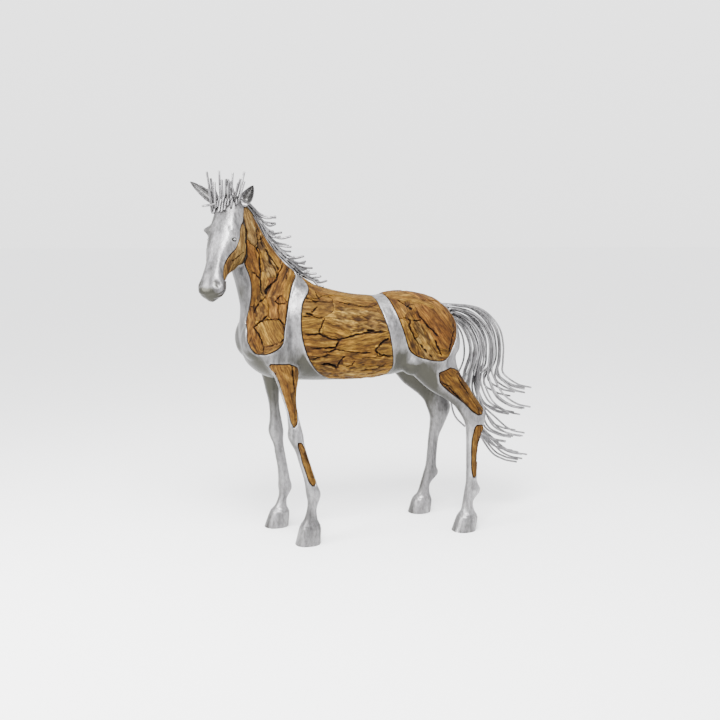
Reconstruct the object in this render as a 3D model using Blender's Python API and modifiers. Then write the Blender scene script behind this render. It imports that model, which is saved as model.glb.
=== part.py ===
"""Life-size standing horse: a cast metal horse with driftwood panels let into it and bent metal rods for forelock, mane and tail.

Metres, +Z up. The horse faces -X and its left side is -Y. The origin is on the ground, at the middle of the bounding box.
"""

import math

import bmesh
import bpy
import numpy as np
from mathutils import Matrix, Vector
from mathutils.bvhtree import BVHTree

# ---------------------------------------------------------------- driving sizes
ORIGIN = (0.39426, -0.02186, 0.0)  # bounding-box centre on the ground, in the modelling frame
VOXEL = 0.013  # size of the blend where lofts meet
BODY_TRIANGLES = 3300  # of the whole form, before the recesses are cut
BODY_SHARE = 0.60  # of the triangles that the cut body keeps
PANEL_SHARE = 0.52
PANEL_DEPTH = 0.024  # how deep a recess for driftwood is
PANEL_PROUD = 0.004  # how far driftwood stands above the metal
PANEL_FIT = 0.0030  # gap between driftwood and metal
LIMB_MIDDLE = 0.009  # wood on a leg stops this far outside the leg's middle plane
TRIMMED = ("jaw_driftwood_left", "forearm_driftwood_right", "hind_cannon_driftwood_left")
ROD = 0.0060  # radius of the bent rods
ROD_GAP = 0.0006  # a rod's foot to the metal that it stands on

HEAD_POLL = Vector((-0.527, -0.020, 0.0))
HEAD_TURN = math.radians(50)  # the head looks this far to the horse's left

# A station is (front or top edge x, z, back or bottom edge x, z, side offset y, half width, roundness).
TRUNK = [
    (-0.480, 1.390, -0.472, 1.190, 0.0, 0.070, 2.0),
    (-0.450, 1.450, -0.440, 1.115, 0.0, 0.140, 2.1),
    (-0.370, 1.520, -0.360, 1.050, 0.0, 0.198, 2.2),
    (-0.250, 1.580, -0.250, 1.015, 0.0, 0.226, 2.2),
    (-0.130, 1.632, -0.130, 1.005, 0.0, 0.240, 2.1),
    (-0.030, 1.590, -0.030, 0.998, 0.0, 0.252, 2.1),
    (0.100, 1.553, 0.100, 0.993, 0.0, 0.266, 2.1),
    (0.250, 1.524, 0.250, 0.993, 0.0, 0.272, 2.1),
    (0.380, 1.519, 0.380, 1.001, 0.0, 0.268, 2.1),
    (0.500, 1.538, 0.500, 1.012, 0.0, 0.256, 2.1),
    (0.600, 1.541, 0.600, 1.035, 0.0, 0.248, 2.1),
    (0.700, 1.523, 0.700, 1.070, 0.0, 0.238, 2.1),
    (0.790, 1.488, 0.800, 1.120, 0.0, 0.205, 2.1),
    (0.850, 1.450, 0.865, 1.170, 0.0, 0.160, 2.1),
    (0.892, 1.405, 0.898, 1.250, 0.0, 0.090, 2.0),
]
NECK = [
    (-0.020, 1.585, -0.470, 1.180, 0.0, 0.190, 2.1),
    (-0.108, 1.644, -0.490, 1.320, 0.0, 0.165, 2.1),
    (-0.170, 1.712, -0.480, 1.450, 0.0, 0.138, 2.1),
    (-0.226, 1.760, -0.500, 1.570, 0.0, 0.118, 2.0),
    (-0.305, 1.862, -0.528, 1.680, 0.0, 0.103, 2.0),
    (-0.364, 1.968, -0.555, 1.810, 0.0, 0.092, 2.0),
    (-0.415, 2.045, -0.575, 1.930, 0.0, 0.082, 2.0),
    (-0.455, 2.095, -0.575, 2.020, 0.0, 0.062, 2.0),
]
# In the head's own plane: distance forward of the poll in place of x.
HEAD = [
    (0.020, 2.130, -0.050, 2.080, 0.0, 0.050, 2.0),
    (0.060, 2.092, -0.075, 1.990, 0.0, 0.082, 2.1),
    (0.105, 2.015, -0.055, 1.890, 0.0, 0.099, 2.2),
    (0.152, 1.918, -0.018, 1.790, 0.0, 0.104, 2.2),
    (0.196, 1.833, 0.025, 1.710, 0.0, 0.094, 2.2),
    (0.230, 1.752, 0.095, 1.675, 0.0, 0.073, 2.3),
    (0.254, 1.705, 0.145, 1.650, 0.0, 0.066, 2.4),
    (0.275, 1.660, 0.165, 1.625, 0.0, 0.069, 2.5),
    (0.297, 1.608, 0.182, 1.583, 0.0, 0.080, 2.7),
    (0.307, 1.572, 0.195, 1.548, 0.0, 0.077, 2.6),
    (0.296, 1.540, 0.215, 1.524, 0.0, 0.058, 2.3),
    (0.272, 1.520, 0.238, 1.514, 0.0, 0.030, 2.0),
]
FORE_LEG = [
    (-0.330, 1.500, -0.170, 1.520, -0.090, 0.045, 2.0),
    (-0.405, 1.385, -0.150, 1.400, -0.120, 0.080, 2.0),
    (-0.415, 1.260, -0.140, 1.260, -0.140, 0.095, 2.0),
    (-0.385, 1.160, -0.155, 1.160, -0.156, 0.086, 2.0),
    (-0.345, 1.105, -0.169, 1.095, -0.165, 0.074, 2.0),
    (-0.316, 1.047, -0.177, 1.032, -0.169, 0.062, 2.0),
    (-0.279, 0.939, -0.187, 0.933, -0.169, 0.046, 2.0),
    (-0.249, 0.838, -0.179, 0.836, -0.169, 0.036, 2.0),
    (-0.239, 0.739, -0.155, 0.735, -0.169, 0.040, 2.1),
    (-0.243, 0.685, -0.142, 0.676, -0.168, 0.046, 2.3),
    (-0.221, 0.634, -0.137, 0.622, -0.168, 0.042, 2.2),
    (-0.195, 0.586, -0.125, 0.578, -0.168, 0.034, 2.0),
    (-0.178, 0.522, -0.106, 0.518, -0.168, 0.032, 2.0),
    (-0.153, 0.444, -0.081, 0.440, -0.167, 0.032, 2.0),
    (-0.140, 0.390, -0.062, 0.382, -0.167, 0.036, 2.0),
    (-0.132, 0.325, -0.036, 0.313, -0.167, 0.043, 2.2),
    (-0.122, 0.264, -0.050, 0.258, -0.166, 0.035, 2.0),
    (-0.127, 0.214, -0.063, 0.213, -0.166, 0.032, 2.0),
    (-0.143, 0.156, -0.057, 0.150, -0.166, 0.041, 2.0),
    (-0.166, 0.114, -0.040, 0.108, -0.165, 0.056, 2.2),
    (-0.196, 0.000, -0.044, 0.000, -0.165, 0.067, 2.3),
    (-0.202, -0.030, -0.045, -0.030, -0.165, 0.069, 2.3),
]
HIND_LEG = [
    (0.600, 1.450, 0.830, 1.430, -0.095, 0.080, 2.0),
    (0.545, 1.350, 0.878, 1.360, -0.125, 0.112, 2.0),
    (0.510, 1.230, 0.905, 1.260, -0.142, 0.126, 2.0),
    (0.515, 1.120, 0.900, 1.180, -0.155, 0.122, 2.0),
    (0.555, 1.044, 0.868, 1.138, -0.165, 0.108, 2.0),
    (0.623, 0.977, 0.879, 1.061, -0.175, 0.096, 2.0),
    (0.691, 0.917, 0.913, 0.989, -0.185, 0.084, 2.0),
    (0.786, 0.860, 0.956, 0.922, -0.200, 0.070, 2.0),
    (0.850, 0.812, 0.998, 0.854, -0.212, 0.058, 2.0),
    (0.880, 0.770, 1.050, 0.785, -0.222, 0.050, 2.1),
    (0.903, 0.731, 1.064, 0.742, -0.228, 0.050, 2.2),
    (0.921, 0.684, 1.049, 0.682, -0.234, 0.046, 2.2),
    (0.924, 0.619, 1.026, 0.605, -0.239, 0.038, 2.0),
    (0.924, 0.521, 1.000, 0.515, -0.244, 0.033, 2.0),
    (0.925, 0.336, 1.001, 0.322, -0.248, 0.035, 2.0),
    (0.917, 0.265, 1.023, 0.253, -0.253, 0.043, 2.2),
    (0.901, 0.194, 0.971, 0.186, -0.257, 0.034, 2.0),
    (0.887, 0.130, 0.977, 0.126, -0.261, 0.042, 2.0),
    (0.862, 0.095, 0.994, 0.085, -0.266, 0.056, 2.2),
    (0.826, 0.000, 0.976, 0.000, -0.270, 0.067, 2.3),
    (0.820, -0.030, 0.974, -0.030, -0.270, 0.069, 2.3),
]
# The right legs stand a little ahead: how far x, z and y differ from the mirrored left leg, by height.
FORE_SHIFT = [(1.20, 0.0, 0.0, 0.0), (1.03, -0.008, -0.010, 0.005), (0.68, -0.030, -0.034, 0.032), (0.32, -0.078, -0.056, 0.050), (0.11, -0.095, -0.014, 0.058), (0.0, -0.100, 0.0, 0.062)]
HIND_SHIFT = [(1.15, 0.0, 0.0, 0.0), (0.95, -0.022, -0.010, -0.020), (0.74, -0.058, -0.030, -0.058), (0.26, -0.100, 0.014, -0.080), (0.09, -0.123, 0.0, -0.091), (0.0, -0.118, 0.0, -0.095)]


# ---------------------------------------------------------------- helpers
def smooth_rows(rows, steps):
    """Rows read from a Catmull-Rom curve through the given ones, `steps` for each span."""
    rows = np.array(rows, float)
    ends = np.vstack([2 * rows[0] - rows[1], rows, 2 * rows[-1] - rows[-2]])
    out = []
    for i in range(1, len(rows)):
        a, b, c, d = ends[i - 1 : i + 3]
        for t in np.arange(steps) / steps:
            out.append(0.5 * (2 * b + (c - a) * t + (2 * a - 5 * b + 4 * c - d) * t**2 + (3 * b - a - 3 * c + d) * t**3))
    out.append(rows[-1])
    return np.array(out)


def parts_collection(name):
    collection = bpy.data.collections.new(name)
    bpy.context.scene.collection.children.link(collection)
    return collection


def new_object(name, mesh, collection):
    obj = bpy.data.objects.new(name, mesh)
    collection.objects.link(obj)
    return obj


def add_loft(bm, stations, sides, steps, place=None):
    """A closed tube through the stations. `place` turns (x, y, z) of the stations' own plane into the modelling frame."""
    rows = smooth_rows(stations, steps)
    rings = []
    for fx, fz, bx, bz, y, half, round_ in rows:
        ring = []
        for k in range(sides):
            t = 2 * math.pi * k / sides
            c, s = math.cos(t), math.sin(t)
            e = math.copysign(abs(c) ** (2 / round_), c)
            w = math.copysign(abs(s) ** (2 / round_), s)
            p = Vector(((fx + bx) / 2 + e * (fx - bx) / 2, y + w * half, (fz + bz) / 2 + e * (fz - bz) / 2))
            ring.append(bm.verts.new(place @ p if place else p))
        rings.append(ring)
    for a, b in zip(rings, rings[1:]):
        for k in range(sides):
            bm.faces.new((a[k], a[(k + 1) % sides], b[(k + 1) % sides], b[k]))
    bm.faces.new(list(reversed(rings[0])))
    bm.faces.new(rings[-1])


def add_ellipsoid(bm, centre, radii, matrix=None, segments=16):
    made = bmesh.ops.create_uvsphere(bm, u_segments=segments, v_segments=segments // 2, radius=1.0)
    place = Matrix.Translation(centre) @ (matrix if matrix else Matrix.Identity(4)) @ Matrix.Diagonal((*radii, 1.0))
    bmesh.ops.transform(bm, matrix=place, verts=made["verts"])


def shifted(stations, table):
    """The right leg: the left leg's stations mirrored, then moved by the shift table read at each edge's height."""
    heights = [row[0] for row in table][::-1]

    def at(z, column):
        return float(np.interp(z, heights, [row[column] for row in table][::-1]))

    return [
        (fx + at(fz, 1), fz + at(fz, 2), bx + at(bz, 1), bz + at(bz, 2), -y + at((fz + bz) / 2, 3), half, round_)
        for fx, fz, bx, bz, y, half, round_ in stations
    ]


def head_place():
    forward = Vector((-math.cos(HEAD_TURN), -math.sin(HEAD_TURN), 0))
    left = Vector((math.sin(HEAD_TURN), -math.cos(HEAD_TURN), 0))
    return Matrix.Translation(HEAD_POLL) @ Matrix((forward, left, Vector((0, 0, 1)))).transposed().to_4x4()


HEAD_FRAME = head_place()


def evaluated_mesh(obj):
    bpy.context.view_layer.update()
    graph = bpy.context.evaluated_depsgraph_get()
    return bpy.data.meshes.new_from_object(obj.evaluated_get(graph))


def baked(obj):
    """Replaces an object's mesh by its evaluated one, and drops the modifiers."""
    mesh = evaluated_mesh(obj)
    old = obj.data
    obj.modifiers.clear()
    obj.data = mesh
    bpy.data.meshes.remove(old)
    return obj


def modifier(obj, kind, **values):
    made = obj.modifiers.new(kind.title(), kind)
    for key, value in values.items():
        setattr(made, key, value)
    return made


def copy_of(obj, name, collection):
    return new_object(name, obj.data.copy(), collection)


def boolean(obj, other, operation, solver="EXACT"):
    modifier(obj, "BOOLEAN", object=other, operation=operation, solver=solver)
    return baked(obj)


def largest_body(obj, flat=0.0, near=0.000001):
    """Keeps the largest connected piece, because a Boolean can leave crumbs at a tangent edge. Facets within `flat` degrees of each other become one."""
    bm = bmesh.new()
    bm.from_mesh(obj.data)
    bmesh.ops.remove_doubles(bm, verts=bm.verts, dist=near)
    if flat:
        bmesh.ops.dissolve_limit(bm, angle_limit=math.radians(flat), use_dissolve_boundaries=False, verts=bm.verts, edges=bm.edges)
    bmesh.ops.triangulate(bm, faces=bm.faces)
    bm.verts.ensure_lookup_table()
    seen, groups = set(), []
    for start in bm.verts:
        if start in seen:
            continue
        group, todo = [], [start]
        seen.add(start)
        while todo:
            v = todo.pop()
            group.append(v)
            for e in v.link_edges:
                o = e.other_vert(v)
                if o not in seen:
                    seen.add(o)
                    todo.append(o)
        groups.append(group)
    groups.sort(key=len)
    for group in groups[:-1]:
        bmesh.ops.delete(bm, geom=group, context="VERTS")
    bm.to_mesh(obj.data)
    bm.free()
    return obj


def lightened(obj, share):
    """Joins the coplanar scraps that the Booleans left, then collapses edges down to a share of the triangles."""
    largest_body(obj, 1.0)
    modifier(obj, "DECIMATE", ratio=share, use_collapse_triangulate=True)
    return largest_body(baked(obj))


# ---------------------------------------------------------------- clear the scene
for old in list(bpy.data.objects):
    bpy.data.objects.remove(old, do_unlink=True)
PARTS = parts_collection("driftwood_horse")
CUTTERS = parts_collection("cutters")
CUTTERS.hide_render = True


# ---------------------------------------------------------------- the horse as one form
def solid_form():
    bm = bmesh.new()
    add_loft(bm, TRUNK, 22, 2)
    add_loft(bm, NECK, 18, 2)
    add_loft(bm, HEAD, 18, 2, HEAD_FRAME)
    for leg, shift in ((FORE_LEG, FORE_SHIFT), (HIND_LEG, HIND_SHIFT)):
        add_loft(bm, leg, 14, 2)
        add_loft(bm, shifted(leg, shift), 14, 2)
    for side in (-1, 1):
        # breast muscles, point of the hip, stifle
        add_ellipsoid(bm, (-0.425, side * 0.085, 1.270), (0.075, 0.090, 0.120))
        add_ellipsoid(bm, (0.540, side * 0.170, 1.400), (0.080, 0.070, 0.070))
        add_ellipsoid(bm, (0.565, side * 0.175, 1.110), (0.075, 0.080, 0.090))
        # brow over the eye, cheek and ear
        add_ellipsoid(bm, HEAD_FRAME @ Vector((0.100, side * 0.088, 1.912)), (0.050, 0.042, 0.044))
        add_ellipsoid(bm, HEAD_FRAME @ Vector((0.050, side * 0.052, 1.790)), (0.070, 0.045, 0.080))
        base = Vector((0.050, -0.070, 2.080)) if side > 0 else Vector((0.000, 0.072, 2.075))
        tip = Vector((0.100, -0.214, 2.205)) if side > 0 else Vector((-0.005, 0.136, 2.188))
        ear = []
        for t, wide, thick in ((-0.15, 0.022, 0.020), (0.1, 0.034, 0.026), (0.4, 0.041, 0.022), (0.7, 0.031, 0.016), (0.92, 0.013, 0.009), (1.0, 0.004, 0.004)):
            ear.append((base.lerp(tip, t), wide, thick))
        axis = (tip - base).normalized()
        across = axis.cross(Vector((1, 0, 0))).normalized()
        deep = across.cross(axis)
        rings = []
        for centre, wide, thick in ear:
            rings.append([bm.verts.new(HEAD_FRAME @ (centre + across * wide * math.cos(a) + deep * thick * math.sin(a))) for a in np.arange(10) * math.pi / 5])
        for a, b in zip(rings, rings[1:]):
            for k in range(10):
                bm.faces.new((a[k], a[(k + 1) % 10], b[(k + 1) % 10], b[k]))
        bm.faces.new(rings[0])
        bm.faces.new(rings[-1])
    bmesh.ops.recalc_face_normals(bm, faces=bm.faces)
    mesh = bpy.data.meshes.new("horse_form")
    bm.to_mesh(mesh)
    bm.free()
    obj = new_object("horse_form", mesh, CUTTERS)
    modifier(obj, "REMESH", mode="VOXEL", voxel_size=VOXEL, adaptivity=0.0)
    modifier(obj, "SMOOTH", factor=0.5, iterations=5)
    baked(obj)
    ratio = BODY_TRIANGLES / (2 * len(obj.data.polygons))
    modifier(obj, "DECIMATE", ratio=ratio, use_collapse_triangulate=True)
    baked(obj)
    return largest_body(obj)


form = solid_form()

# Flat soles: everything under the ground plane goes.
bm = bmesh.new()
bmesh.ops.create_cube(bm, size=1.0)
bmesh.ops.transform(bm, matrix=Matrix.Translation((0.4, 0, -0.5)) @ Matrix.Diagonal((4, 3, 1, 1)), verts=bm.verts)
ground_mesh = bpy.data.meshes.new("ground_cutter")
bm.to_mesh(ground_mesh)
bm.free()
ground = new_object("ground_cutter", ground_mesh, CUTTERS)
boolean(form, ground, "DIFFERENCE")
largest_body(form)

# The floor of every recess is the form drawn inwards; the face of every panel is the form drawn out a little.
core = copy_of(form, "recess_floor", CUTTERS)
modifier(core, "DISPLACE", strength=-PANEL_DEPTH, mid_level=0.0, direction="NORMAL")
modifier(core, "REMESH", mode="VOXEL", voxel_size=0.012, adaptivity=0.0)
baked(core)
modifier(core, "DECIMATE", ratio=1300 / (2 * len(core.data.polygons)), use_collapse_triangulate=True)
baked(core)
largest_body(core)
panel_back = copy_of(core, "panel_back", CUTTERS)
modifier(panel_back, "DISPLACE", strength=PANEL_FIT, mid_level=0.0, direction="NORMAL")
baked(panel_back)
panel_face = copy_of(form, "panel_face", CUTTERS)
modifier(panel_face, "DISPLACE", strength=PANEL_PROUD, mid_level=0.0, direction="NORMAL")
baked(panel_face)


# ---------------------------------------------------------------- driftwood panels
# Each outline is a closed smooth curve through a few points of the horse's side view (x, z).
BARREL = [(-0.100, 1.680), (-0.092, 1.579), (-0.153, 1.485), (-0.170, 1.350), (-0.150, 1.235), (-0.099, 1.126), (-0.007, 1.037), (0.120, 1.008), (0.280, 1.004), (0.390, 1.014), (0.430, 1.070), (0.408, 1.180), (0.378, 1.320), (0.350, 1.460), (0.345, 1.680), (0.120, 1.720)]
NECK_PANEL = [(-0.438, 2.055), (-0.400, 2.003), (-0.340, 1.895), (-0.265, 1.785), (-0.205, 1.715), (-0.152, 1.662), (-0.189, 1.597), (-0.235, 1.480), (-0.262, 1.350), (-0.280, 1.258), (-0.350, 1.204), (-0.425, 1.194), (-0.474, 1.265), (-0.470, 1.363), (-0.446, 1.480), (-0.436, 1.582), (-0.450, 1.705), (-0.448, 1.861), (-0.450, 1.980)]
HAUNCH = [(0.440, 1.680), (0.428, 1.500), (0.445, 1.410), (0.482, 1.286), (0.524, 1.186), (0.590, 1.138), (0.690, 1.114), (0.765, 1.122), (0.812, 1.190), (0.858, 1.270), (0.868, 1.360), (0.835, 1.430), (0.770, 1.500), (0.700, 1.680)]
JAW = [(0.050, 1.955), (0.088, 1.905), (0.097, 1.862), (0.126, 1.816), (0.163, 1.782), (0.194, 1.735), (0.216, 1.690), (0.224, 1.638), (0.160, 1.634), (0.096, 1.655), (0.052, 1.705), (0.034, 1.800), (0.034, 1.900)]


def closed_curve(points, steps=2):
    rows = np.array(points, float)
    out = []
    n = len(rows)
    for i in range(n):
        a, b, c, d = rows[i - 1], rows[i], rows[(i + 1) % n], rows[(i + 2) % n]
        for t in np.arange(steps) / steps:
            out.append(0.5 * (2 * b + (c - a) * t + (2 * a - 5 * b + 4 * c - d) * t**2 + (3 * b - a - 3 * c + d) * t**3))
    return np.array(out)


def shrunk(outline, gap):
    """The outline moved inwards by the gap, along each point's own normal."""
    after, before = np.roll(outline, -1, axis=0), np.roll(outline, 1, axis=0)
    along = after - before
    along /= np.linalg.norm(along, axis=1)[:, None]
    normal = np.stack([-along[:, 1], along[:, 0]], axis=1)
    area = np.sum(outline[:, 0] * after[:, 1] - after[:, 0] * outline[:, 1])
    return outline + normal * gap * (1 if area > 0 else -1)


def prism(name, outline, y0, y1, place=None):
    """A flat outline with a thickness, standing in the side view's plane from y0 to y1."""
    curve = bpy.data.curves.new(name, "CURVE")
    curve.dimensions = "2D"
    curve.fill_mode = "BOTH"
    curve.extrude = abs(y1 - y0) / 2
    spline = curve.splines.new("POLY")
    spline.points.add(len(outline) - 1)
    for point, (x, z) in zip(spline.points, outline):
        point.co = (x, z, 0, 1)
    spline.use_cyclic_u = True
    flat = new_object(name + "_outline", curve, CUTTERS)
    mesh = evaluated_mesh(flat)
    bpy.data.objects.remove(flat)
    bm = bmesh.new()
    bm.from_mesh(mesh)
    bmesh.ops.remove_doubles(bm, verts=bm.verts, dist=0.00001)
    # The curve lies in XY; stand it up so that its Y is the frame's Z.
    stand = Matrix.Translation((0, (y0 + y1) / 2, 0)) @ Matrix.Rotation(math.pi / 2, 4, "X")
    bmesh.ops.transform(bm, matrix=(place if place else Matrix.Identity(4)) @ stand, verts=bm.verts)
    bmesh.ops.recalc_face_normals(bm, faces=bm.faces)
    bm.to_mesh(mesh)
    bm.free()
    obj = new_object(name, mesh, CUTTERS)
    obj.display_type = "WIRE"
    obj.hide_render = True
    return obj


def limb_outline(stations, upper, lower, widths, points=8):
    """An outline along a limb between two station numbers. A width is (how far along, fraction of the limb's depth where the wood starts, and where it ends), measured from the front edge."""
    rows = smooth_rows(stations, 10)
    first, last = upper * 10, lower * 10
    left, right = [], []
    for t in (1 - np.cos(np.linspace(0, math.pi, points))) / 2:
        fx, fz, bx, bz = rows[int(round(first + (last - first) * t))][:4]
        for edge, column in ((left, 1), (right, 2)):
            s = float(np.interp(t, [w[0] for w in widths], [w[column] for w in widths]))
            edge.append((fx + (bx - fx) * s, fz + (bz - fz) * s))
    return left + right[::-1]


FORE_RIGHT = shifted(FORE_LEG, FORE_SHIFT)
HIND_RIGHT = shifted(HIND_LEG, HIND_SHIFT)
LIMB_PANELS = {
    # name: left leg, right leg, upper station, lower station, widths
    "forearm": (FORE_LEG, FORE_RIGHT, 3.3, 7.9, [(0, 0.10, 0.62), (0.1, -0.02, 0.90), (0.3, 0.04, 1.06), (0.75, 0.06, 1.06), (0.93, 0.12, 0.75), (1, 0.28, 0.44)]),
    "fore_cannon": (FORE_LEG, FORE_RIGHT, 9.5, 14.2, [(0, 0.46, 0.74), (0.15, 0.34, 1.00), (0.5, 0.22, 1.06), (0.9, 0.26, 1.04), (1, 0.44, 0.72)]),
    "gaskin": (HIND_LEG, HIND_RIGHT, 4.6, 9.7, [(0, 0.42, 0.74), (0.15, 0.30, 1.02), (0.5, 0.27, 1.06), (0.85, 0.40, 0.98), (1, 0.55, 0.76)]),
    "hind_cannon": (HIND_LEG, HIND_RIGHT, 10.9, 13.9, [(0, 0.46, 0.70), (0.1, 0.34, 1.02), (0.5, 0.26, 1.05), (0.92, 0.30, 0.98), (1, 0.46, 0.74)]),
}

PANELS = []  # name, outline, y range, place, half width clear of the middle


def side_panel(name, outline, gap_from_middle, place_left=None, place_right=None):
    outline = closed_curve(outline)
    PANELS.append((name + "_left", outline, (-0.60, -gap_from_middle), place_left))
    PANELS.append((name + "_right", outline, (gap_from_middle, 0.60), place_right))


PANELS.append(("barrel_driftwood", closed_curve(BARREL), (-0.60, 0.60), None))
side_panel("neck_driftwood", NECK_PANEL, 0.030)
side_panel("haunch_driftwood", HAUNCH, 0.004)
PANELS.append(("jaw_driftwood_left", closed_curve(JAW), (0.035, 0.125), HEAD_FRAME))
PANELS.append(("jaw_driftwood_right", closed_curve(JAW), (-0.125, -0.035), HEAD_FRAME))
for limb, (left_leg, right_leg, upper, lower, widths) in LIMB_PANELS.items():
    for side, leg in ((-1, left_leg), (1, right_leg)):
        # On the right legs the wood stays clear of the front edge.
        spread = [(t, max(a, 0.14) if side > 0 else a, b) for t, a, b in widths]
        outline = np.array(limb_outline(leg, upper + (0.3 if side > 0 else 0.0), lower - (0.7 if side > 0 else 0.0), spread))
        middle = [row[4] for row in leg]
        centre = float(np.mean(middle[int(upper) : int(lower) + 2]))
        span = (-0.60, centre - LIMB_MIDDLE) if side < 0 else (centre + LIMB_MIDDLE, 0.60)
        PANELS.append((f"{limb}_driftwood_{'left' if side < 0 else 'right'}", outline, span, None))

body = copy_of(form, "horse_body", PARTS)
panel_objects = []
for name, outline, (y0, y1), place in PANELS:
    cutter = prism("cut_" + name, outline, y0, y1, place)
    boolean(cutter, core, "DIFFERENCE")
    boolean(body, cutter, "DIFFERENCE")
    fit = PANEL_FIT * (2.2 if name in TRIMMED else 1.0)
    inner = shrunk(outline, fit)
    near_middle = min(abs(y0), abs(y1)) < 0.5
    z0 = y0 + fit if near_middle and abs(y0) < abs(y1) else y0
    z1 = y1 - fit if near_middle and abs(y1) < abs(y0) else y1
    plug = prism("plug_" + name, inner, z0, z1, place)
    boolean(plug, panel_face, "INTERSECT")
    boolean(plug, panel_back, "DIFFERENCE")
    plug.name = name
    lightened(plug, PANEL_SHARE)
    for collection in list(plug.users_collection):
        collection.objects.unlink(plug)
    PARTS.objects.link(plug)
    plug.hide_render = False
    plug.display_type = "TEXTURED"
    panel_objects.append(plug)
lightened(body, BODY_SHARE)

# Lightening moves edges by a hair, so each panel is trimmed once more by the metal drawn out a little.
grown = copy_of(body, "grown_metal", CUTTERS)
modifier(grown, "DISPLACE", strength=0.0008, mid_level=0.0, direction="NORMAL")
baked(grown)
for name in TRIMMED:
    largest_body(boolean(bpy.data.objects[name], grown, "DIFFERENCE", "MANIFOLD"))


# ---------------------------------------------------------------- bent rods
def tree_of(obj):
    bm = bmesh.new()
    bm.from_mesh(obj.data)
    tree = BVHTree.FromBMesh(bm)
    bm.free()
    return tree


TREES = [tree_of(body)] + [tree_of(panel) for panel in panel_objects]


def clearance(point):
    return min(tree.find_nearest(point)[3] for tree in TREES)


def signed_clearance(point):
    """Distance from the metal and the wood, negative inside."""
    best = None
    for tree in TREES:
        near, normal, _, distance = tree.find_nearest(point)
        if best is None or distance < abs(best):
            best = distance if (point - near).dot(normal) >= 0 else -distance
    return best


def planted(start, direction, reach=1.05):
    """A rod's foot: where a ray meets the form, lifted along the surface's normal until a disc `reach` times the rod's width clears it by ROD_GAP. A rod that leaves at a slant needs the wider disc."""
    hits = [hit for tree in TREES if (hit := tree.ray_cast(start, direction))[0] is not None]
    point, normal, _, _ = min(hits, key=lambda hit: hit[3])
    side = normal.orthogonal().normalized()
    ring = [Vector((0, 0, 0))] + [(Matrix.Rotation(a, 3, normal) @ side) * ROD * reach for a in np.arange(12) * math.pi / 6]
    lift = 0.0
    while min(signed_clearance(point + normal * lift + r) for r in ring) < ROD_GAP:
        lift += 0.0001
    return point + normal * lift, normal


def cleared(points, least):
    """Points moved off the form where they come closer to it than `least`; the foot stays."""
    out = [points[0]]
    for point in points[1:]:
        for _ in range(6):
            near, normal, _, distance = min((tree.find_nearest(point) for tree in TREES), key=lambda found: found[3])
            inside = (point - near).dot(normal) < 0
            if not inside and distance >= least:
                break
            point = near + normal * (least + 0.0005)
        out.append(point)
    # A straight span can cut a corner of the form between two clear points: lift its ends until it doesn't.
    for _ in range(12):
        lifted = False
        for k in range(1, len(out) - 1):
            for t in (0.25, 0.5, 0.75, 1.0):
                probe = out[k].lerp(out[k + 1], t)
                near, normal, _, distance = min((tree.find_nearest(probe) for tree in TREES), key=lambda found: found[3])
                gap = distance if (probe - near).dot(normal) >= 0 else -distance
                if gap < least - 0.001:
                    push = normal * (least - gap) * 0.6
                    out[k + 1] = out[k + 1] + push
                    if k > 1:
                        out[k] = out[k] + push
                    lifted = True
        if not lifted:
            break
    return out


def rod(name, points, material):
    curve = bpy.data.curves.new(name, "CURVE")
    curve.dimensions = "3D"
    curve.bevel_depth = ROD
    curve.bevel_resolution = 1
    curve.use_fill_caps = True
    spline = curve.splines.new("POLY")
    spline.points.add(len(points) - 1)
    for point, co in zip(spline.points, points):
        point.co = (*co, 1)
    guide = new_object(name + "_guide", curve, CUTTERS)
    mesh = evaluated_mesh(guide)
    bpy.data.objects.remove(guide)
    bm = bmesh.new()
    bm.from_mesh(mesh)
    bmesh.ops.remove_doubles(bm, verts=bm.verts, dist=0.00001)
    bmesh.ops.recalc_face_normals(bm, faces=bm.faces)
    bm.to_mesh(mesh)
    bm.free()
    mesh.materials.clear()
    mesh.materials.append(material)
    return new_object(name, mesh, PARTS)


def material(name, colour, metallic, roughness):
    made = bpy.data.materials.new(name)
    made.use_nodes = True
    shader = made.node_tree.nodes["Principled BSDF"]
    shader.inputs["Base Color"].default_value = (*colour, 1)
    shader.inputs["Metallic"].default_value = metallic
    shader.inputs["Roughness"].default_value = roughness
    return made


METAL = material("sanded_cast_aluminium", (0.62, 0.61, 0.62), 1.0, 0.36)
body.data.materials.clear()
body.data.materials.append(METAL)
for panel in panel_objects:
    panel.data.materials.clear()
    panel.data.materials.append(material(panel.name + "_wood", (0.42, 0.25, 0.10), 0.0, 0.75))



def curve_through(points, spans):
    """`spans` + 1 points at equal steps along a Catmull-Rom curve through the given points."""
    fine = smooth_rows(points, 12)
    run = np.concatenate([[0], np.cumsum(np.linalg.norm(np.diff(fine, axis=0), axis=1))])
    at = np.linspace(0, run[-1], spans + 1)
    return [Vector([float(np.interp(a, run, fine[:, k])) for k in range(3)]) for a in at]


def wobble(seed, size):
    """A repeatable number between -size and size."""
    return size * math.sin(seed * 12.9898 + 4.1414 * (seed % 7))


# Tail: lanes side by side, and in each lane rods nested from the outermost, which flicks out highest, to the innermost.
TAIL_LANES, TAIL_LEVELS, LANE = 6, 4, 0.0215
TAIL_OUTER = [(0.985, 1.440), (1.059, 1.431), (1.134, 1.402), (1.210, 1.340), (1.262, 1.263), (1.287, 1.161), (1.286, 1.058)]
TAIL_INNER = [(0.950, 1.350), (1.003, 1.314), (1.052, 1.251), (1.086, 1.169), (1.090, 1.100), (1.066, 1.030), (1.046, 0.960)]
TAIL_TIPS = [  # for each level, the tip's x and z in the first lane and in the last
    ((1.500, 0.868), (1.440, 0.800)),
    ((1.480, 0.745), (1.400, 0.662)),
    ((1.300, 0.505), (1.530, 0.508)),
    ((1.420, 0.345), (1.515, 0.392)),
]
ROOT_Z = (1.432, 1.412, 1.391, 1.369)


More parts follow.
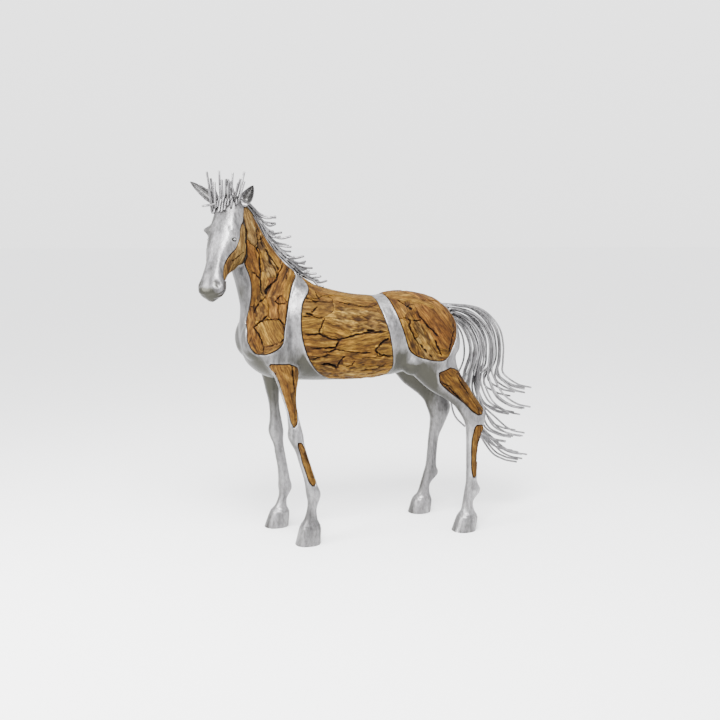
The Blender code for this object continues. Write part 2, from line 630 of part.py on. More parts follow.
def tail_rod(lane, level):
    share = lane / (TAIL_LANES - 1)
    y = (lane - (TAIL_LANES - 1) / 2) * LANE
    q = (level + 0.25 * math.sin(1.7 * lane)) / (TAIL_LEVELS - 1)
    q = min(max(q, 0.0), 1.0)
    foot, normal = planted(Vector((1.2, y * 0.86, ROOT_Z[level])), Vector((-1, 0, 0)))
    path = [foot, foot + normal * 0.022]
    for (ox, oz), (ix, iz) in zip(TAIL_OUTER, TAIL_INNER):
        path.append(Vector((ox + (ix - ox) * q, y, oz + (iz - oz) * q)))
    (ax, az), (bx, bz) = TAIL_TIPS[level]
    tx, tz = ax + (bx - ax) * share + wobble(lane + 6 * level, 0.022), az + (bz - az) * share + wobble(3 * lane + level, 0.012)
    last = path[-1]
    spread = y * 1.35
    if level:
        waist = (0.0, tx - 0.29, max(tx - 0.23, 1.075), min(tx - 0.33, 1.010))[level]
        path.append(Vector((min(last.x, waist + 0.02), y * 1.1, (last.z * 0.45 + (tz + 0.20) * 0.55))))
    path.append(Vector((tx - 0.215, y * 1.2, tz + 0.110)))
    path.append(Vector((tx - 0.110, spread, tz + 0.032)))
    path.append(Vector((tx, spread, tz)))
    return [foot] + curve_through(path[1:], 6 if level < 2 else 7)


RODS = []
for lane in range(TAIL_LANES):
    for level in range(TAIL_LEVELS):
        if (lane, level) in ((0, 0), (5, 3)):
            continue
        RODS.append(("tail_rod", tail_rod(lane, level)))

# Mane: each rod stands on the crest, lies along it and flicks out behind.
CREST = smooth_rows([(-0.455, 2.093), (-0.415, 2.045), (-0.364, 1.968), (-0.335, 1.912), (-0.305, 1.862), (-0.262, 1.802), (-0.226, 1.760), (-0.170, 1.712), (-0.108, 1.644), (-0.040, 1.598), (0.03, 1.572)], 8)
CREST_RUN = np.concatenate([[0], np.cumsum(np.linalg.norm(np.diff(CREST, axis=0), axis=1))])
MANE_RODS, MANE_LANES = 12, (-0.021, 0.0, 0.021)


def crest(run):
    x, z = (float(np.interp(run, CREST_RUN, CREST[:, k])) for k in (0, 1))
    x2, z2 = (float(np.interp(run + 0.01, CREST_RUN, CREST[:, k])) for k in (0, 1))
    along = Vector((x2 - x, 0, z2 - z)).normalized()
    return Vector((x, 0, z)), along, Vector((-along.z, 0, along.x))


for i in range(MANE_RODS):
    run = 0.010 + 0.0480 * i
    lane = MANE_LANES[i % 3]
    point, along, out = crest(run)
    foot, normal = planted(point + out * 0.2 + Vector((0, lane, 0)), -out, 1.9)
    path = [foot, foot + normal * 0.018]
    for step, lift in ((0.060, 0.020), (0.105, 0.030)):
        point, along, out = crest(run + step)
        path.append(point + out * lift + Vector((0, lane, 0)))
    reach = 0.085 + wobble(i, 0.018)
    path.append(path[-1] + Vector((reach * 0.55, lane * 0.4, -0.026 + wobble(i + 3, 0.006))))
    path.append(path[-1] + Vector((reach * 0.62, lane * 0.5, 0.004 + wobble(i + 5, 0.010))))
    RODS.append(("mane_rod", [foot] + cleared(curve_through(path[1:], 4), ROD + 0.004)))

# Forelock: a fan of rods that stand up between the ears, and a row that hangs over the forehead (head frame: forward, left, up).
FORELOCK_UP = [((0.066, -0.066), (0.112, -0.092, 2.250)), ((0.048, -0.030), (0.080, -0.030, 2.256)), ((0.066, -0.008), (0.095, -0.004, 2.205)), ((0.030, 0.020), (0.030, 0.032, 2.248)), ((0.010, 0.048), (-0.006, 0.088, 2.254)), ((0.040, 0.062), (0.040, 0.112, 2.196))]
FORELOCK_DOWN = [(-0.052, 2.012), (-0.020, 2.020), (0.010, 2.030), (0.038, 2.046)]
for (f, w), tip in FORELOCK_UP:
    foot, normal = planted(HEAD_FRAME @ Vector((f, w, 2.30)), Vector((0, 0, -1)))
    end = HEAD_FRAME @ Vector(tip)
    path = [foot, foot + normal * 0.016, foot.lerp(end, 0.55) + normal * 0.008, end]
    RODS.append(("forelock_rod", [foot] + curve_through(path[1:], 2)))
for w, low in FORELOCK_DOWN:
    foot, normal = planted(HEAD_FRAME @ Vector((0.30, w, 2.088)), HEAD_FRAME.to_3x3() @ Vector((-1, 0, 0)))
    down = HEAD_FRAME.to_3x3() @ Vector((0.30, 0, -1.0))
    path = [foot, foot + normal * 0.018, foot + normal * 0.026 + down * (2.088 - low) * 0.5, foot + normal * 0.024 + down * (2.088 - low)]
    RODS.append(("forelock_rod", [foot] + cleared(curve_through(path[1:], 2), ROD + 0.003)))

counts = {}
for kind, points in RODS:
    counts[kind] = counts.get(kind, 0) + 1
    rod(f"{kind}_{counts[kind]:02d}", points, METAL)

# ---------------------------------------------------------------- to the part's own frame
for obj in list(PARTS.objects):
    obj.data.transform(Matrix.Translation((-ORIGIN[0], -ORIGIN[1], -ORIGIN[2])))
    obj.data.update()
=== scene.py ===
"""Looks of the life-size driftwood horse: the fine metal form with its recesses, the mosaics of driftwood, the bent rods, materials, floor, light and camera."""

import math

import bmesh
import bpy
import numpy as np
from mathutils import Matrix, Vector
from mathutils.bvhtree import BVHTree


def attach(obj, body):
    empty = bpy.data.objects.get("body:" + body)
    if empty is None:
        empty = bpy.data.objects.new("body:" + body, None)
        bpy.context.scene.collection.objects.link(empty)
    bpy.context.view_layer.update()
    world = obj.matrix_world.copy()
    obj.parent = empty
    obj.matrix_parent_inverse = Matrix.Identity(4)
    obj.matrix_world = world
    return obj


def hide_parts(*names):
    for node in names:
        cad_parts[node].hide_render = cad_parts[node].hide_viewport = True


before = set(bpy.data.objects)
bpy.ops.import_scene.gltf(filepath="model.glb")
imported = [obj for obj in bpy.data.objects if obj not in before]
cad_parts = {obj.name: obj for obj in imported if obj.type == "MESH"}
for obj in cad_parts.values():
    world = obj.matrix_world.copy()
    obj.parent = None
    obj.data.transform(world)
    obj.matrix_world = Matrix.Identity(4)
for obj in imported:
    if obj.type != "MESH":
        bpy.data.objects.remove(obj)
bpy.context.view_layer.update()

# ---------------------------------------------------------------- sizes, the same as the solid part's
ORIGIN = np.array([0.39426, -0.02186, 0.0])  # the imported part's origin, in the modelling frame
FORM_VOXEL = 0.0070
PANEL_FIT = 0.0030
RECESS = 0.020
ROD = 0.0060
HEAD_POLL = np.array([-0.527, -0.020, 0.0])
HEAD_TURN = math.radians(50)
LIMB_MIDDLE = 0.009

# A station is (front or top edge x, z, back or bottom edge x, z, side offset y, half width, roundness).
TRUNK = [
    (-0.480, 1.390, -0.472, 1.190, 0.0, 0.070, 2.0),
    (-0.450, 1.450, -0.440, 1.115, 0.0, 0.140, 2.1),
    (-0.370, 1.520, -0.360, 1.050, 0.0, 0.198, 2.2),
    (-0.250, 1.580, -0.250, 1.015, 0.0, 0.226, 2.2),
    (-0.130, 1.632, -0.130, 1.005, 0.0, 0.240, 2.1),
    (-0.030, 1.590, -0.030, 0.998, 0.0, 0.252, 2.1),
    (0.100, 1.553, 0.100, 0.993, 0.0, 0.266, 2.1),
    (0.250, 1.524, 0.250, 0.993, 0.0, 0.272, 2.1),
    (0.380, 1.519, 0.380, 1.001, 0.0, 0.268, 2.1),
    (0.500, 1.538, 0.500, 1.012, 0.0, 0.256, 2.1),
    (0.600, 1.541, 0.600, 1.035, 0.0, 0.248, 2.1),
    (0.700, 1.523, 0.700, 1.070, 0.0, 0.238, 2.1),
    (0.790, 1.488, 0.800, 1.120, 0.0, 0.205, 2.1),
    (0.850, 1.450, 0.865, 1.170, 0.0, 0.160, 2.1),
    (0.892, 1.405, 0.898, 1.250, 0.0, 0.090, 2.0),
]
NECK = [
    (-0.020, 1.585, -0.470, 1.180, 0.0, 0.190, 2.1),
    (-0.108, 1.644, -0.490, 1.320, 0.0, 0.165, 2.1),
    (-0.170, 1.712, -0.480, 1.450, 0.0, 0.138, 2.1),
    (-0.226, 1.760, -0.500, 1.570, 0.0, 0.118, 2.0),
    (-0.305, 1.862, -0.528, 1.680, 0.0, 0.103, 2.0),
    (-0.364, 1.968, -0.555, 1.810, 0.0, 0.092, 2.0),
    (-0.415, 2.045, -0.575, 1.930, 0.0, 0.082, 2.0),
    (-0.455, 2.095, -0.575, 2.020, 0.0, 0.062, 2.0),
]
# In the head's own plane: distance forward of the poll in place of x.
HEAD = [
    (0.020, 2.130, -0.050, 2.080, 0.0, 0.050, 2.0),
    (0.060, 2.092, -0.075, 1.990, 0.0, 0.082, 2.1),
    (0.105, 2.015, -0.055, 1.890, 0.0, 0.099, 2.2),
    (0.152, 1.918, -0.018, 1.790, 0.0, 0.104, 2.2),
    (0.196, 1.833, 0.025, 1.710, 0.0, 0.094, 2.2),
    (0.230, 1.752, 0.095, 1.675, 0.0, 0.073, 2.3),
    (0.254, 1.705, 0.145, 1.650, 0.0, 0.066, 2.4),
    (0.275, 1.660, 0.165, 1.625, 0.0, 0.069, 2.5),
    (0.297, 1.608, 0.182, 1.583, 0.0, 0.080, 2.7),
    (0.307, 1.572, 0.195, 1.548, 0.0, 0.069, 2.2),
    (0.294, 1.540, 0.218, 1.524, 0.0, 0.036, 2.0),
    (0.270, 1.518, 0.242, 1.510, 0.0, 0.011, 2.0),
]
FORE_LEG = [
    (-0.330, 1.500, -0.170, 1.520, -0.090, 0.045, 2.0),
    (-0.405, 1.385, -0.150, 1.400, -0.120, 0.080, 2.0),
    (-0.415, 1.260, -0.140, 1.260, -0.140, 0.095, 2.0),
    (-0.385, 1.160, -0.155, 1.160, -0.156, 0.086, 2.0),
    (-0.345, 1.105, -0.169, 1.095, -0.165, 0.074, 2.0),
    (-0.316, 1.047, -0.177, 1.032, -0.169, 0.062, 2.0),
    (-0.279, 0.939, -0.187, 0.933, -0.169, 0.046, 2.0),
    (-0.249, 0.838, -0.179, 0.836, -0.169, 0.036, 2.0),
    (-0.239, 0.739, -0.155, 0.735, -0.169, 0.040, 2.1),
    (-0.243, 0.685, -0.142, 0.676, -0.168, 0.046, 2.3),
    (-0.221, 0.634, -0.137, 0.622, -0.168, 0.042, 2.2),
    (-0.195, 0.586, -0.125, 0.578, -0.168, 0.034, 2.0),
    (-0.178, 0.522, -0.106, 0.518, -0.168, 0.032, 2.0),
    (-0.153, 0.444, -0.081, 0.440, -0.167, 0.032, 2.0),
    (-0.140, 0.390, -0.062, 0.382, -0.167, 0.036, 2.0),
    (-0.132, 0.325, -0.036, 0.313, -0.167, 0.043, 2.2),
    (-0.122, 0.264, -0.050, 0.258, -0.166, 0.035, 2.0),
    (-0.127, 0.214, -0.063, 0.213, -0.166, 0.032, 2.0),
    (-0.143, 0.156, -0.057, 0.150, -0.166, 0.041, 2.0),
    (-0.166, 0.114, -0.040, 0.108, -0.165, 0.056, 2.2),
    (-0.196, 0.000, -0.044, 0.000, -0.165, 0.067, 2.3),
    (-0.202, -0.030, -0.045, -0.030, -0.165, 0.069, 2.3),
]
HIND_LEG = [
    (0.600, 1.450, 0.830, 1.430, -0.095, 0.080, 2.0),
    (0.545, 1.350, 0.878, 1.360, -0.125, 0.112, 2.0),
    (0.510, 1.230, 0.905, 1.260, -0.142, 0.126, 2.0),
    (0.515, 1.120, 0.900, 1.180, -0.155, 0.122, 2.0),
    (0.555, 1.044, 0.868, 1.138, -0.165, 0.108, 2.0),
    (0.623, 0.977, 0.879, 1.061, -0.175, 0.096, 2.0),
    (0.691, 0.917, 0.913, 0.989, -0.185, 0.084, 2.0),
    (0.786, 0.860, 0.956, 0.922, -0.200, 0.070, 2.0),
    (0.850, 0.812, 0.998, 0.854, -0.212, 0.058, 2.0),
    (0.880, 0.770, 1.050, 0.785, -0.222, 0.050, 2.1),
    (0.903, 0.731, 1.064, 0.742, -0.228, 0.050, 2.2),
    (0.921, 0.684, 1.049, 0.682, -0.234, 0.046, 2.2),
    (0.924, 0.619, 1.026, 0.605, -0.239, 0.038, 2.0),
    (0.924, 0.521, 1.000, 0.515, -0.244, 0.033, 2.0),
    (0.925, 0.336, 1.001, 0.322, -0.248, 0.035, 2.0),
    (0.917, 0.265, 1.023, 0.253, -0.253, 0.043, 2.2),
    (0.901, 0.194, 0.971, 0.186, -0.257, 0.034, 2.0),
    (0.887, 0.130, 0.977, 0.126, -0.261, 0.042, 2.0),
    (0.862, 0.095, 0.994, 0.085, -0.266, 0.056, 2.2),
    (0.826, 0.000, 0.976, 0.000, -0.270, 0.067, 2.3),
    (0.820, -0.030, 0.974, -0.030, -0.270, 0.069, 2.3),
]
# The right legs stand a little ahead: how far x, z and y differ from the mirrored left leg, by height.
FORE_SHIFT = [(1.20, 0.0, 0.0, 0.0), (1.03, -0.008, -0.010, 0.005), (0.68, -0.030, -0.034, 0.032), (0.32, -0.078, -0.056, 0.050), (0.11, -0.095, -0.014, 0.058), (0.0, -0.100, 0.0, 0.062)]
HIND_SHIFT = [(1.15, 0.0, 0.0, 0.0), (0.95, -0.022, -0.010, -0.020), (0.74, -0.058, -0.030, -0.058), (0.26, -0.100, 0.014, -0.080), (0.09, -0.123, 0.0, -0.091), (0.0, -0.118, 0.0, -0.095)]


def smooth_rows(rows, steps):
    """Rows read from a Catmull-Rom curve through the given ones, `steps` for each span."""
    rows = np.array(rows, float)
    ends = np.vstack([2 * rows[0] - rows[1], rows, 2 * rows[-1] - rows[-2]])
    out = []
    for i in range(1, len(rows)):
        a, b, c, d = ends[i - 1 : i + 3]
        for t in np.arange(steps) / steps:
            out.append(0.5 * (2 * b + (c - a) * t + (2 * a - 5 * b + 4 * c - d) * t**2 + (3 * b - a - 3 * c + d) * t**3))
    out.append(rows[-1])
    return np.array(out)


def shifted(stations, table):
    """The right leg: the left leg's stations mirrored, then moved by the shift table read at each edge's height."""
    heights = [row[0] for row in table][::-1]

    def at(z, column):
        return float(np.interp(z, heights, [row[column] for row in table][::-1]))

    return [
        (fx + at(fz, 1), fz + at(fz, 2), bx + at(bz, 1), bz + at(bz, 2), -y + at((fz + bz) / 2, 3), half, round_)
        for fx, fz, bx, bz, y, half, round_ in stations
    ]


def closed_curve(points, steps=2):
    rows = np.array(points, float)
    out = []
    n = len(rows)
    for i in range(n):
        a, b, c, d = rows[i - 1], rows[i], rows[(i + 1) % n], rows[(i + 2) % n]
        for t in np.arange(steps) / steps:
            out.append(0.5 * (2 * b + (c - a) * t + (2 * a - 5 * b + 4 * c - d) * t**2 + (3 * b - a - 3 * c + d) * t**3))
    return np.array(out)


def limb_outline(stations, upper, lower, widths, points=8):
    """An outline along a limb between two station numbers. A width is (how far along, fraction of the limb's depth where the wood starts, and where it ends), measured from the front edge."""
    rows = smooth_rows(stations, 10)
    first, last = upper * 10, lower * 10
    left, right = [], []
    for t in (1 - np.cos(np.linspace(0, math.pi, points))) / 2:
        fx, fz, bx, bz = rows[int(round(first + (last - first) * t))][:4]
        for edge, column in ((left, 1), (right, 2)):
            s = float(np.interp(t, [w[0] for w in widths], [w[column] for w in widths]))
            edge.append((fx + (bx - fx) * s, fz + (bz - fz) * s))
    return left + right[::-1]


FORE_RIGHT = shifted(FORE_LEG, FORE_SHIFT)
HIND_RIGHT = shifted(HIND_LEG, HIND_SHIFT)
LIMB_PANELS = {
    # name: left leg, right leg, upper station, lower station, widths
    "forearm": (FORE_LEG, FORE_RIGHT, 3.3, 7.9, [(0, 0.10, 0.62), (0.1, -0.02, 0.90), (0.3, 0.04, 1.06), (0.75, 0.06, 1.06), (0.93, 0.12, 0.75), (1, 0.28, 0.44)]),
    "fore_cannon": (FORE_LEG, FORE_RIGHT, 9.5, 14.2, [(0, 0.46, 0.74), (0.15, 0.34, 1.00), (0.5, 0.22, 1.06), (0.9, 0.26, 1.04), (1, 0.44, 0.72)]),
    "gaskin": (HIND_LEG, HIND_RIGHT, 4.6, 9.7, [(0, 0.42, 0.74), (0.15, 0.30, 1.02), (0.5, 0.27, 1.06), (0.85, 0.40, 0.98), (1, 0.55, 0.76)]),
    "hind_cannon": (HIND_LEG, HIND_RIGHT, 10.9, 13.9, [(0, 0.46, 0.70), (0.1, 0.34, 1.02), (0.5, 0.26, 1.05), (0.92, 0.30, 0.98), (1, 0.46, 0.74)]),
}

BARREL = [(-0.100, 1.680), (-0.092, 1.579), (-0.153, 1.485), (-0.170, 1.350), (-0.150, 1.235), (-0.099, 1.126), (-0.007, 1.037), (0.120, 1.008), (0.280, 1.004), (0.390, 1.014), (0.430, 1.070), (0.408, 1.180), (0.378, 1.320), (0.350, 1.460), (0.345, 1.680), (0.120, 1.720)]
NECK_PANEL = [(-0.438, 2.055), (-0.400, 2.003), (-0.340, 1.895), (-0.265, 1.785), (-0.205, 1.715), (-0.152, 1.662), (-0.189, 1.597), (-0.235, 1.480), (-0.262, 1.350), (-0.280, 1.258), (-0.350, 1.204), (-0.425, 1.194), (-0.474, 1.265), (-0.470, 1.363), (-0.446, 1.480), (-0.436, 1.582), (-0.446, 1.650), (-0.472, 1.725), (-0.492, 1.840), (-0.490, 1.885), (-0.480, 1.935), (-0.472, 2.000), (-0.460, 2.055)]
HAUNCH = [(0.440, 1.680), (0.428, 1.500), (0.445, 1.410), (0.482, 1.286), (0.524, 1.186), (0.590, 1.138), (0.690, 1.114), (0.765, 1.122), (0.812, 1.190), (0.858, 1.270), (0.868, 1.360), (0.835, 1.430), (0.770, 1.500), (0.700, 1.680)]
JAW = [(0.050, 1.955), (0.088, 1.905), (0.097, 1.862), (0.126, 1.816), (0.163, 1.782), (0.194, 1.735), (0.216, 1.690), (0.224, 1.638), (0.160, 1.634), (0.096, 1.655), (0.040, 1.700), (-0.012, 1.790), (-0.020, 1.900), (0.010, 1.990)]


# ---------------------------------------------------------------- the horse as one fine form
def smoothstep(x, low, high):
    t = np.clip((x - low) / (high - low), 0.0, 1.0)
    return t * t * (3 - 2 * t)


def head_matrix():
    made = np.eye(4)
    made[:3, 0] = (-math.cos(HEAD_TURN), -math.sin(HEAD_TURN), 0)
    made[:3, 1] = (math.sin(HEAD_TURN), -math.cos(HEAD_TURN), 0)
    made[:3, 2] = (0, 0, 1)
    made[:3, 3] = HEAD_POLL
    return made


HEAD_FRAME = head_matrix()


def placed(points, place=None):
    points = np.asarray(points, float)
    return points if place is None else points @ place[:3, :3].T + place[:3, 3]


def in_head(points):
    """Modelling frame to the head's own: forward, left, up."""
    return (points - HEAD_FRAME[:3, 3]) @ HEAD_FRAME[:3, :3]


def loft(stations, sides, steps, place=None):
    rows = smooth_rows(stations, steps)
    t = 2 * math.pi * np.arange(sides) / sides
    c, s = np.cos(t), np.sin(t)
    points = []
    for fx, fz, bx, bz, y, half, round_ in rows:
        e = np.sign(c) * np.abs(c) ** (2 / round_)
        w = np.sign(s) * np.abs(s) ** (2 / round_)
        points.append(np.stack([(fx + bx) / 2 + e * (fx - bx) / 2, y + w * half, (fz + bz) / 2 + e * (fz - bz) / 2], 1))
    return placed(np.concatenate(points), place), tube_faces(len(rows), sides)


def tube_faces(rings, sides):
    faces = []
    for r in range(rings - 1):
        for k in range(sides):
            a, b = r * sides + k, r * sides + (k + 1) % sides
            faces.append((a, b, b + sides, a + sides))
    faces.append(tuple(range(sides))[::-1])
    faces.append(tuple((rings - 1) * sides + k for k in range(sides)))
    return faces


def ellipsoid(centre, radii, turn=None, place=None, segments=28):
    rings = segments // 2
    lat = np.linspace(-math.pi / 2, math.pi / 2, rings + 1)[1:-1]
    lon = 2 * math.pi * np.arange(segments) / segments
    points = np.stack([np.outer(np.cos(lat), np.cos(lon)), np.outer(np.cos(lat), np.sin(lon)), np.outer(np.sin(lat), np.ones(segments))], 2).reshape(-1, 3)
    points = points * np.array(radii)
    if turn is not None:
        points = points @ np.array(turn).T
    return placed(points + np.array(centre), place), tube_faces(len(lat), segments)


def joined(parts):
    points, faces, base = [], [], 0
    for p, f in parts:
        points.append(p)
        faces += [tuple(i + base for i in face) for face in f]
        base += len(p)
    return np.concatenate(points), faces


def mesh_of(name, points, faces):
    mesh = bpy.data.meshes.new(name)
    mesh.from_pydata([tuple(p) for p in points], [], [tuple(int(i) for i in f) for f in faces])
    return mesh


def outward(mesh):
    bm = bmesh.new()
    bm.from_mesh(mesh)
    bmesh.ops.recalc_face_normals(bm, faces=bm.faces)
    bm.to_mesh(mesh)
    bm.free()


def evaluated(obj):
    bpy.context.view_layer.update()
    return bpy.data.meshes.new_from_object(obj.evaluated_get(bpy.context.evaluated_depsgraph_get()))


def arrays(mesh):
    mesh.calc_loop_triangles()
    p = np.empty(len(mesh.vertices) * 3)
    mesh.vertices.foreach_get("co", p)
    t = np.empty(len(mesh.loop_triangles) * 3, np.int32)
    mesh.loop_triangles.foreach_get("vertices", t)
    return p.reshape(-1, 3), t.reshape(-1, 3).astype(np.int64)


def edges_of(tri):
    e = np.sort(np.concatenate([tri[:, [0, 1]], tri[:, [1, 2]], tri[:, [2, 0]]]), axis=1)
    key = np.unique(e[:, 0] * (tri.max() + 1) + e[:, 1])
    return np.stack([key // (tri.max() + 1), key % (tri.max() + 1)], 1)


def summed(index, values, size):
    return np.stack([np.bincount(index, values[:, k], size) for k in range(values.shape[1])], 1)


def normals_of(p, tri):
    n = np.cross(p[tri[:, 1]] - p[tri[:, 0]], p[tri[:, 2]] - p[tri[:, 0]])
    out = summed(tri.ravel(), np.repeat(n, 3, axis=0), len(p))
    return out / np.maximum(np.linalg.norm(out, axis=1)[:, None], 1e-12)


def relaxed(p, tri, rounds, strength=0.5, valleys=False, weight=None, levels=None):
    """Laplacian smoothing. With `valleys` only hollow places are filled, as a welder's fillet fills a corner."""
    e = edges_of(tri)
    both = np.concatenate([e, e[:, ::-1]])
    count = np.maximum(np.bincount(both[:, 0], minlength=len(p)), 1)[:, None]
    p = p.copy()
    for _ in range(rounds):
        step = summed(both[:, 0], p[both[:, 1]], len(p)) / count - p
        if valleys:
            n = normals_of(p, tri)
            depth = np.sum(step * n, axis=1)
            step = step * (depth > 0.00012)[:, None]
        if weight is not None:
            step = step * weight[:, None]
        p += step * strength
    return p


def value_noise(points, seed=0):
    """Smooth repeatable noise between 0 and 1."""
    q = np.floor(points).astype(np.int64)
    f = points - q
    f = f * f * (3 - 2 * f)
    out = np.zeros(len(points))
    for dx in (0, 1):
        for dy in (0, 1):
            for dz in (0, 1):
                h = (q[:, 0] + dx) * 374761393 + (q[:, 1] + dy) * 668265263 + (q[:, 2] + dz) * 2147483647 + seed * 974634777
                h = (h ^ (h >> 13)) & 0x7FFFFFFF
                h = (h * 1274126177) & 0x7FFFFFFF
                h = (h ^ (h >> 16)) & 0xFFFF
                wx = f[:, 0] if dx else 1 - f[:, 0]
                wy = f[:, 1] if dy else 1 - f[:, 1]
                wz = f[:, 2] if dz else 1 - f[:, 2]
                out += wx * wy * wz * h / 65535.0
    return out


def form_parts():
    parts = [loft(TRUNK, 48, 5), loft(NECK, 40, 5), loft(HEAD, 44, 5, HEAD_FRAME)]
    for leg, shift in ((FORE_LEG, FORE_SHIFT), (HIND_LEG, HIND_SHIFT)):
        parts += [loft(leg, 36, 4), loft(shifted(leg, shift), 36, 4)]
    for side in (-1, 1):
        parts.append(ellipsoid((-0.425, side * 0.085, 1.270), (0.075, 0.090, 0.120)))
        parts.append(ellipsoid((0.540, side * 0.170, 1.400), (0.080, 0.070, 0.070)))
        parts.append(ellipsoid((0.565, side * 0.175, 1.110), (0.075, 0.080, 0.090)))
        parts.append(ellipsoid((0.080, side * 0.062, 1.900), (0.060, 0.036, 0.062), place=HEAD_FRAME))
        parts.append(ellipsoid((0.050, side * 0.052, 1.790), (0.070, 0.045, 0.080), place=HEAD_FRAME))
    return parts


def fine_form():
    points, faces = joined(form_parts())
    mesh = mesh_of("form", points, faces)
    outward(mesh)
    obj = bpy.data.objects.new("form", mesh)
    bpy.context.scene.collection.objects.link(obj)
    remesh = obj.modifiers.new("Remesh", "REMESH")
    remesh.mode, remesh.voxel_size, remesh.adaptivity = "VOXEL", FORM_VOXEL, 0.0
    made = evaluated(obj)
    bpy.data.objects.remove(obj)
    # The head gets twice the detail of the rest.
    bm = bmesh.new()
    bm.from_mesh(made)
    co = np.array([v.co[:] for v in bm.verts])
    local = in_head(co)
    wanted = (local[:, 2] > 1.50) & (local[:, 0] > -0.03) & (local[:, 0] < 0.36) & (np.abs(local[:, 1]) < 0.17)
    bm.verts.ensure_lookup_table()
    some = [e for e in bm.edges if wanted[e.verts[0].index] and wanted[e.verts[1].index]]
    bmesh.ops.subdivide_edges(bm, edges=some, cuts=1, use_grid_fill=True)
    bmesh.ops.triangulate(bm, faces=bm.faces)
    bm.to_mesh(made)
    bm.free()
    p, tri = arrays(made)
    bpy.data.meshes.remove(made)
    p = relaxed(p, tri, 4)
    head = in_head(p)
    on_head = smoothstep(head[:, 0], 0.00, 0.05) * (head[:, 2] > 1.5)
    p = relaxed(p, tri, 70, valleys=True, weight=1 - 0.75 * on_head)
    p = relaxed(p, tri, 4)
    return p, tri


def bump(local, centre, radii, height, normals_local, way=None):
    """Raises (or, with a negative height, dents) the surface round a centre."""
    q = (local - np.array(centre)) / np.array(radii)
    weight = np.exp(-np.sum(q * q, axis=1))
    return (height * weight)[:, None] * (normals_local if way is None else np.array(way)[None, :])


def line_distance(points, line):
    """Distance to a polyline and how far along it the nearest point is."""
    line = np.asarray(line, float)
    best = np.full(len(points), 1e9)
    at = np.zeros(len(points))
    run = 0.0
    for a, b in zip(line, line[1:]):
        ab = b - a
        length = np.linalg.norm(ab)
        t = np.clip((points - a) @ ab / (length * length), 0, 1)
        d = np.linalg.norm(points - (a + t[:, None] * ab), axis=1)
        nearer = d < best
        best = np.where(nearer, d, best)
        at = np.where(nearer, run + t * length, at)
        run += length
    return best, at / run


def ridge(local, line, width, height, normals_local, taper=True):
    d, at = line_distance(local, line)
    weight = np.exp(-((d / width) ** 2))
    if taper:
        weight *= smoothstep(at, 0.0, 0.18) * smoothstep(1 - at, 0.0, 0.18) * 0.8 + 0.2
    return (height * weight)[:, None] * normals_local


def head_details(p, tri):
    local = in_head(p)
    near = (local[:, 2] > 1.48) & (local[:, 0] > -0.05)
    rows = np.flatnonzero(near)
    q = local[rows]
    n = normals_of(p, tri)[rows] @ HEAD_FRAME[:3, :3]
    move = np.zeros_like(q)
    for side in (-1, 1):
        one = (np.sign(q[:, 1]) == side)[:, None]
        m = np.zeros_like(q)
        # Orbit: the point of the brow, a shallow ring round the eye, hollow over the eye, facial crest.
        # The brow stands out to the side on the right; on the left the wood runs up to it.
        m += bump(q, (0.098, side * 0.098, 1.920 if side < 0 else 1.893), (0.034, 0.040, 0.024), 0.036 if side < 0 else 0.006, n, way=(0.10, side * 0.98, 0.02)) * smoothstep(np.abs(q[:, 1]), 0.060, 0.095)[:, None]
        m += bump(q, (0.129, side * 0.090, 1.864), (0.013, 0.030, 0.010), -0.0050, n)
        m += ridge(q, [(0.112, side * 0.102, 1.872), (0.128, side * 0.096, 1.884), (0.150, side * 0.086, 1.874)], 0.007, 0.0025, n)
        m += bump(q, (0.060, side * 0.080, 1.950), (0.024, 0.03, 0.030), -0.005, n)
        m += ridge(q, [(0.120, side * 0.100, 1.822), (0.160, side * 0.094, 1.775), (0.196, side * 0.080, 1.730)], 0.012, 0.0030, n)
        m += bump(q, (0.205, side * 0.072, 1.760), (0.040, 0.03, 0.045), -0.005, n)
        # Cheek edge, nostril and its rim, upper lip, corner of the mouth.
        m += bump(q, (0.190, side * 0.066, 1.690), (0.030, 0.03, 0.050), -0.004, n)
        m += bump(q, (0.281, side * 0.066, 1.618), (0.012, 0.03, 0.022), -0.011, n)
        m += ridge(q, [(0.262, side * 0.080, 1.590), (0.256, side * 0.082, 1.620), (0.268, side * 0.074, 1.652), (0.288, side * 0.056, 1.650), (0.298, side * 0.052, 1.625)], 0.007, 0.0048, n)
        m += bump(q, (0.275, side * 0.055, 1.560), (0.030, 0.03, 0.016), 0.004, n)
        m += ridge(q, [(0.306, side * 0.008, 1.546), (0.296, side * 0.040, 1.549), (0.270, side * 0.070, 1.560), (0.236, side * 0.078, 1.578), (0.205, side * 0.074, 1.600)], 0.0055, -0.010, n)
        m += ridge(q, [(0.285, side * 0.030, 1.532), (0.262, side * 0.056, 1.540), (0.232, side * 0.062, 1.556)], 0.009, 0.004, n)
        m += ridge(q, [(0.085, side * 0.060, 2.010), (0.150, side * 0.070, 1.925), (0.196, side * 0.058, 1.835), (0.232, side * 0.044, 1.750), (0.262, side * 0.040, 1.690)], 0.014, 0.0045, n)
        move += m * one
    move += ridge(q, [(0.120, 0, 2.000), (0.175, 0, 1.875), (0.225, 0, 1.755)], 0.020, -0.002, n)
    p = p.copy()
    p[rows] += move @ HEAD_FRAME[:3, :3].T
    weight = np.zeros(len(p))
    weight[rows] = smoothstep(q[:, 0], -0.02, 0.03)
    return relaxed(p, tri, 2, strength=0.4, weight=weight)


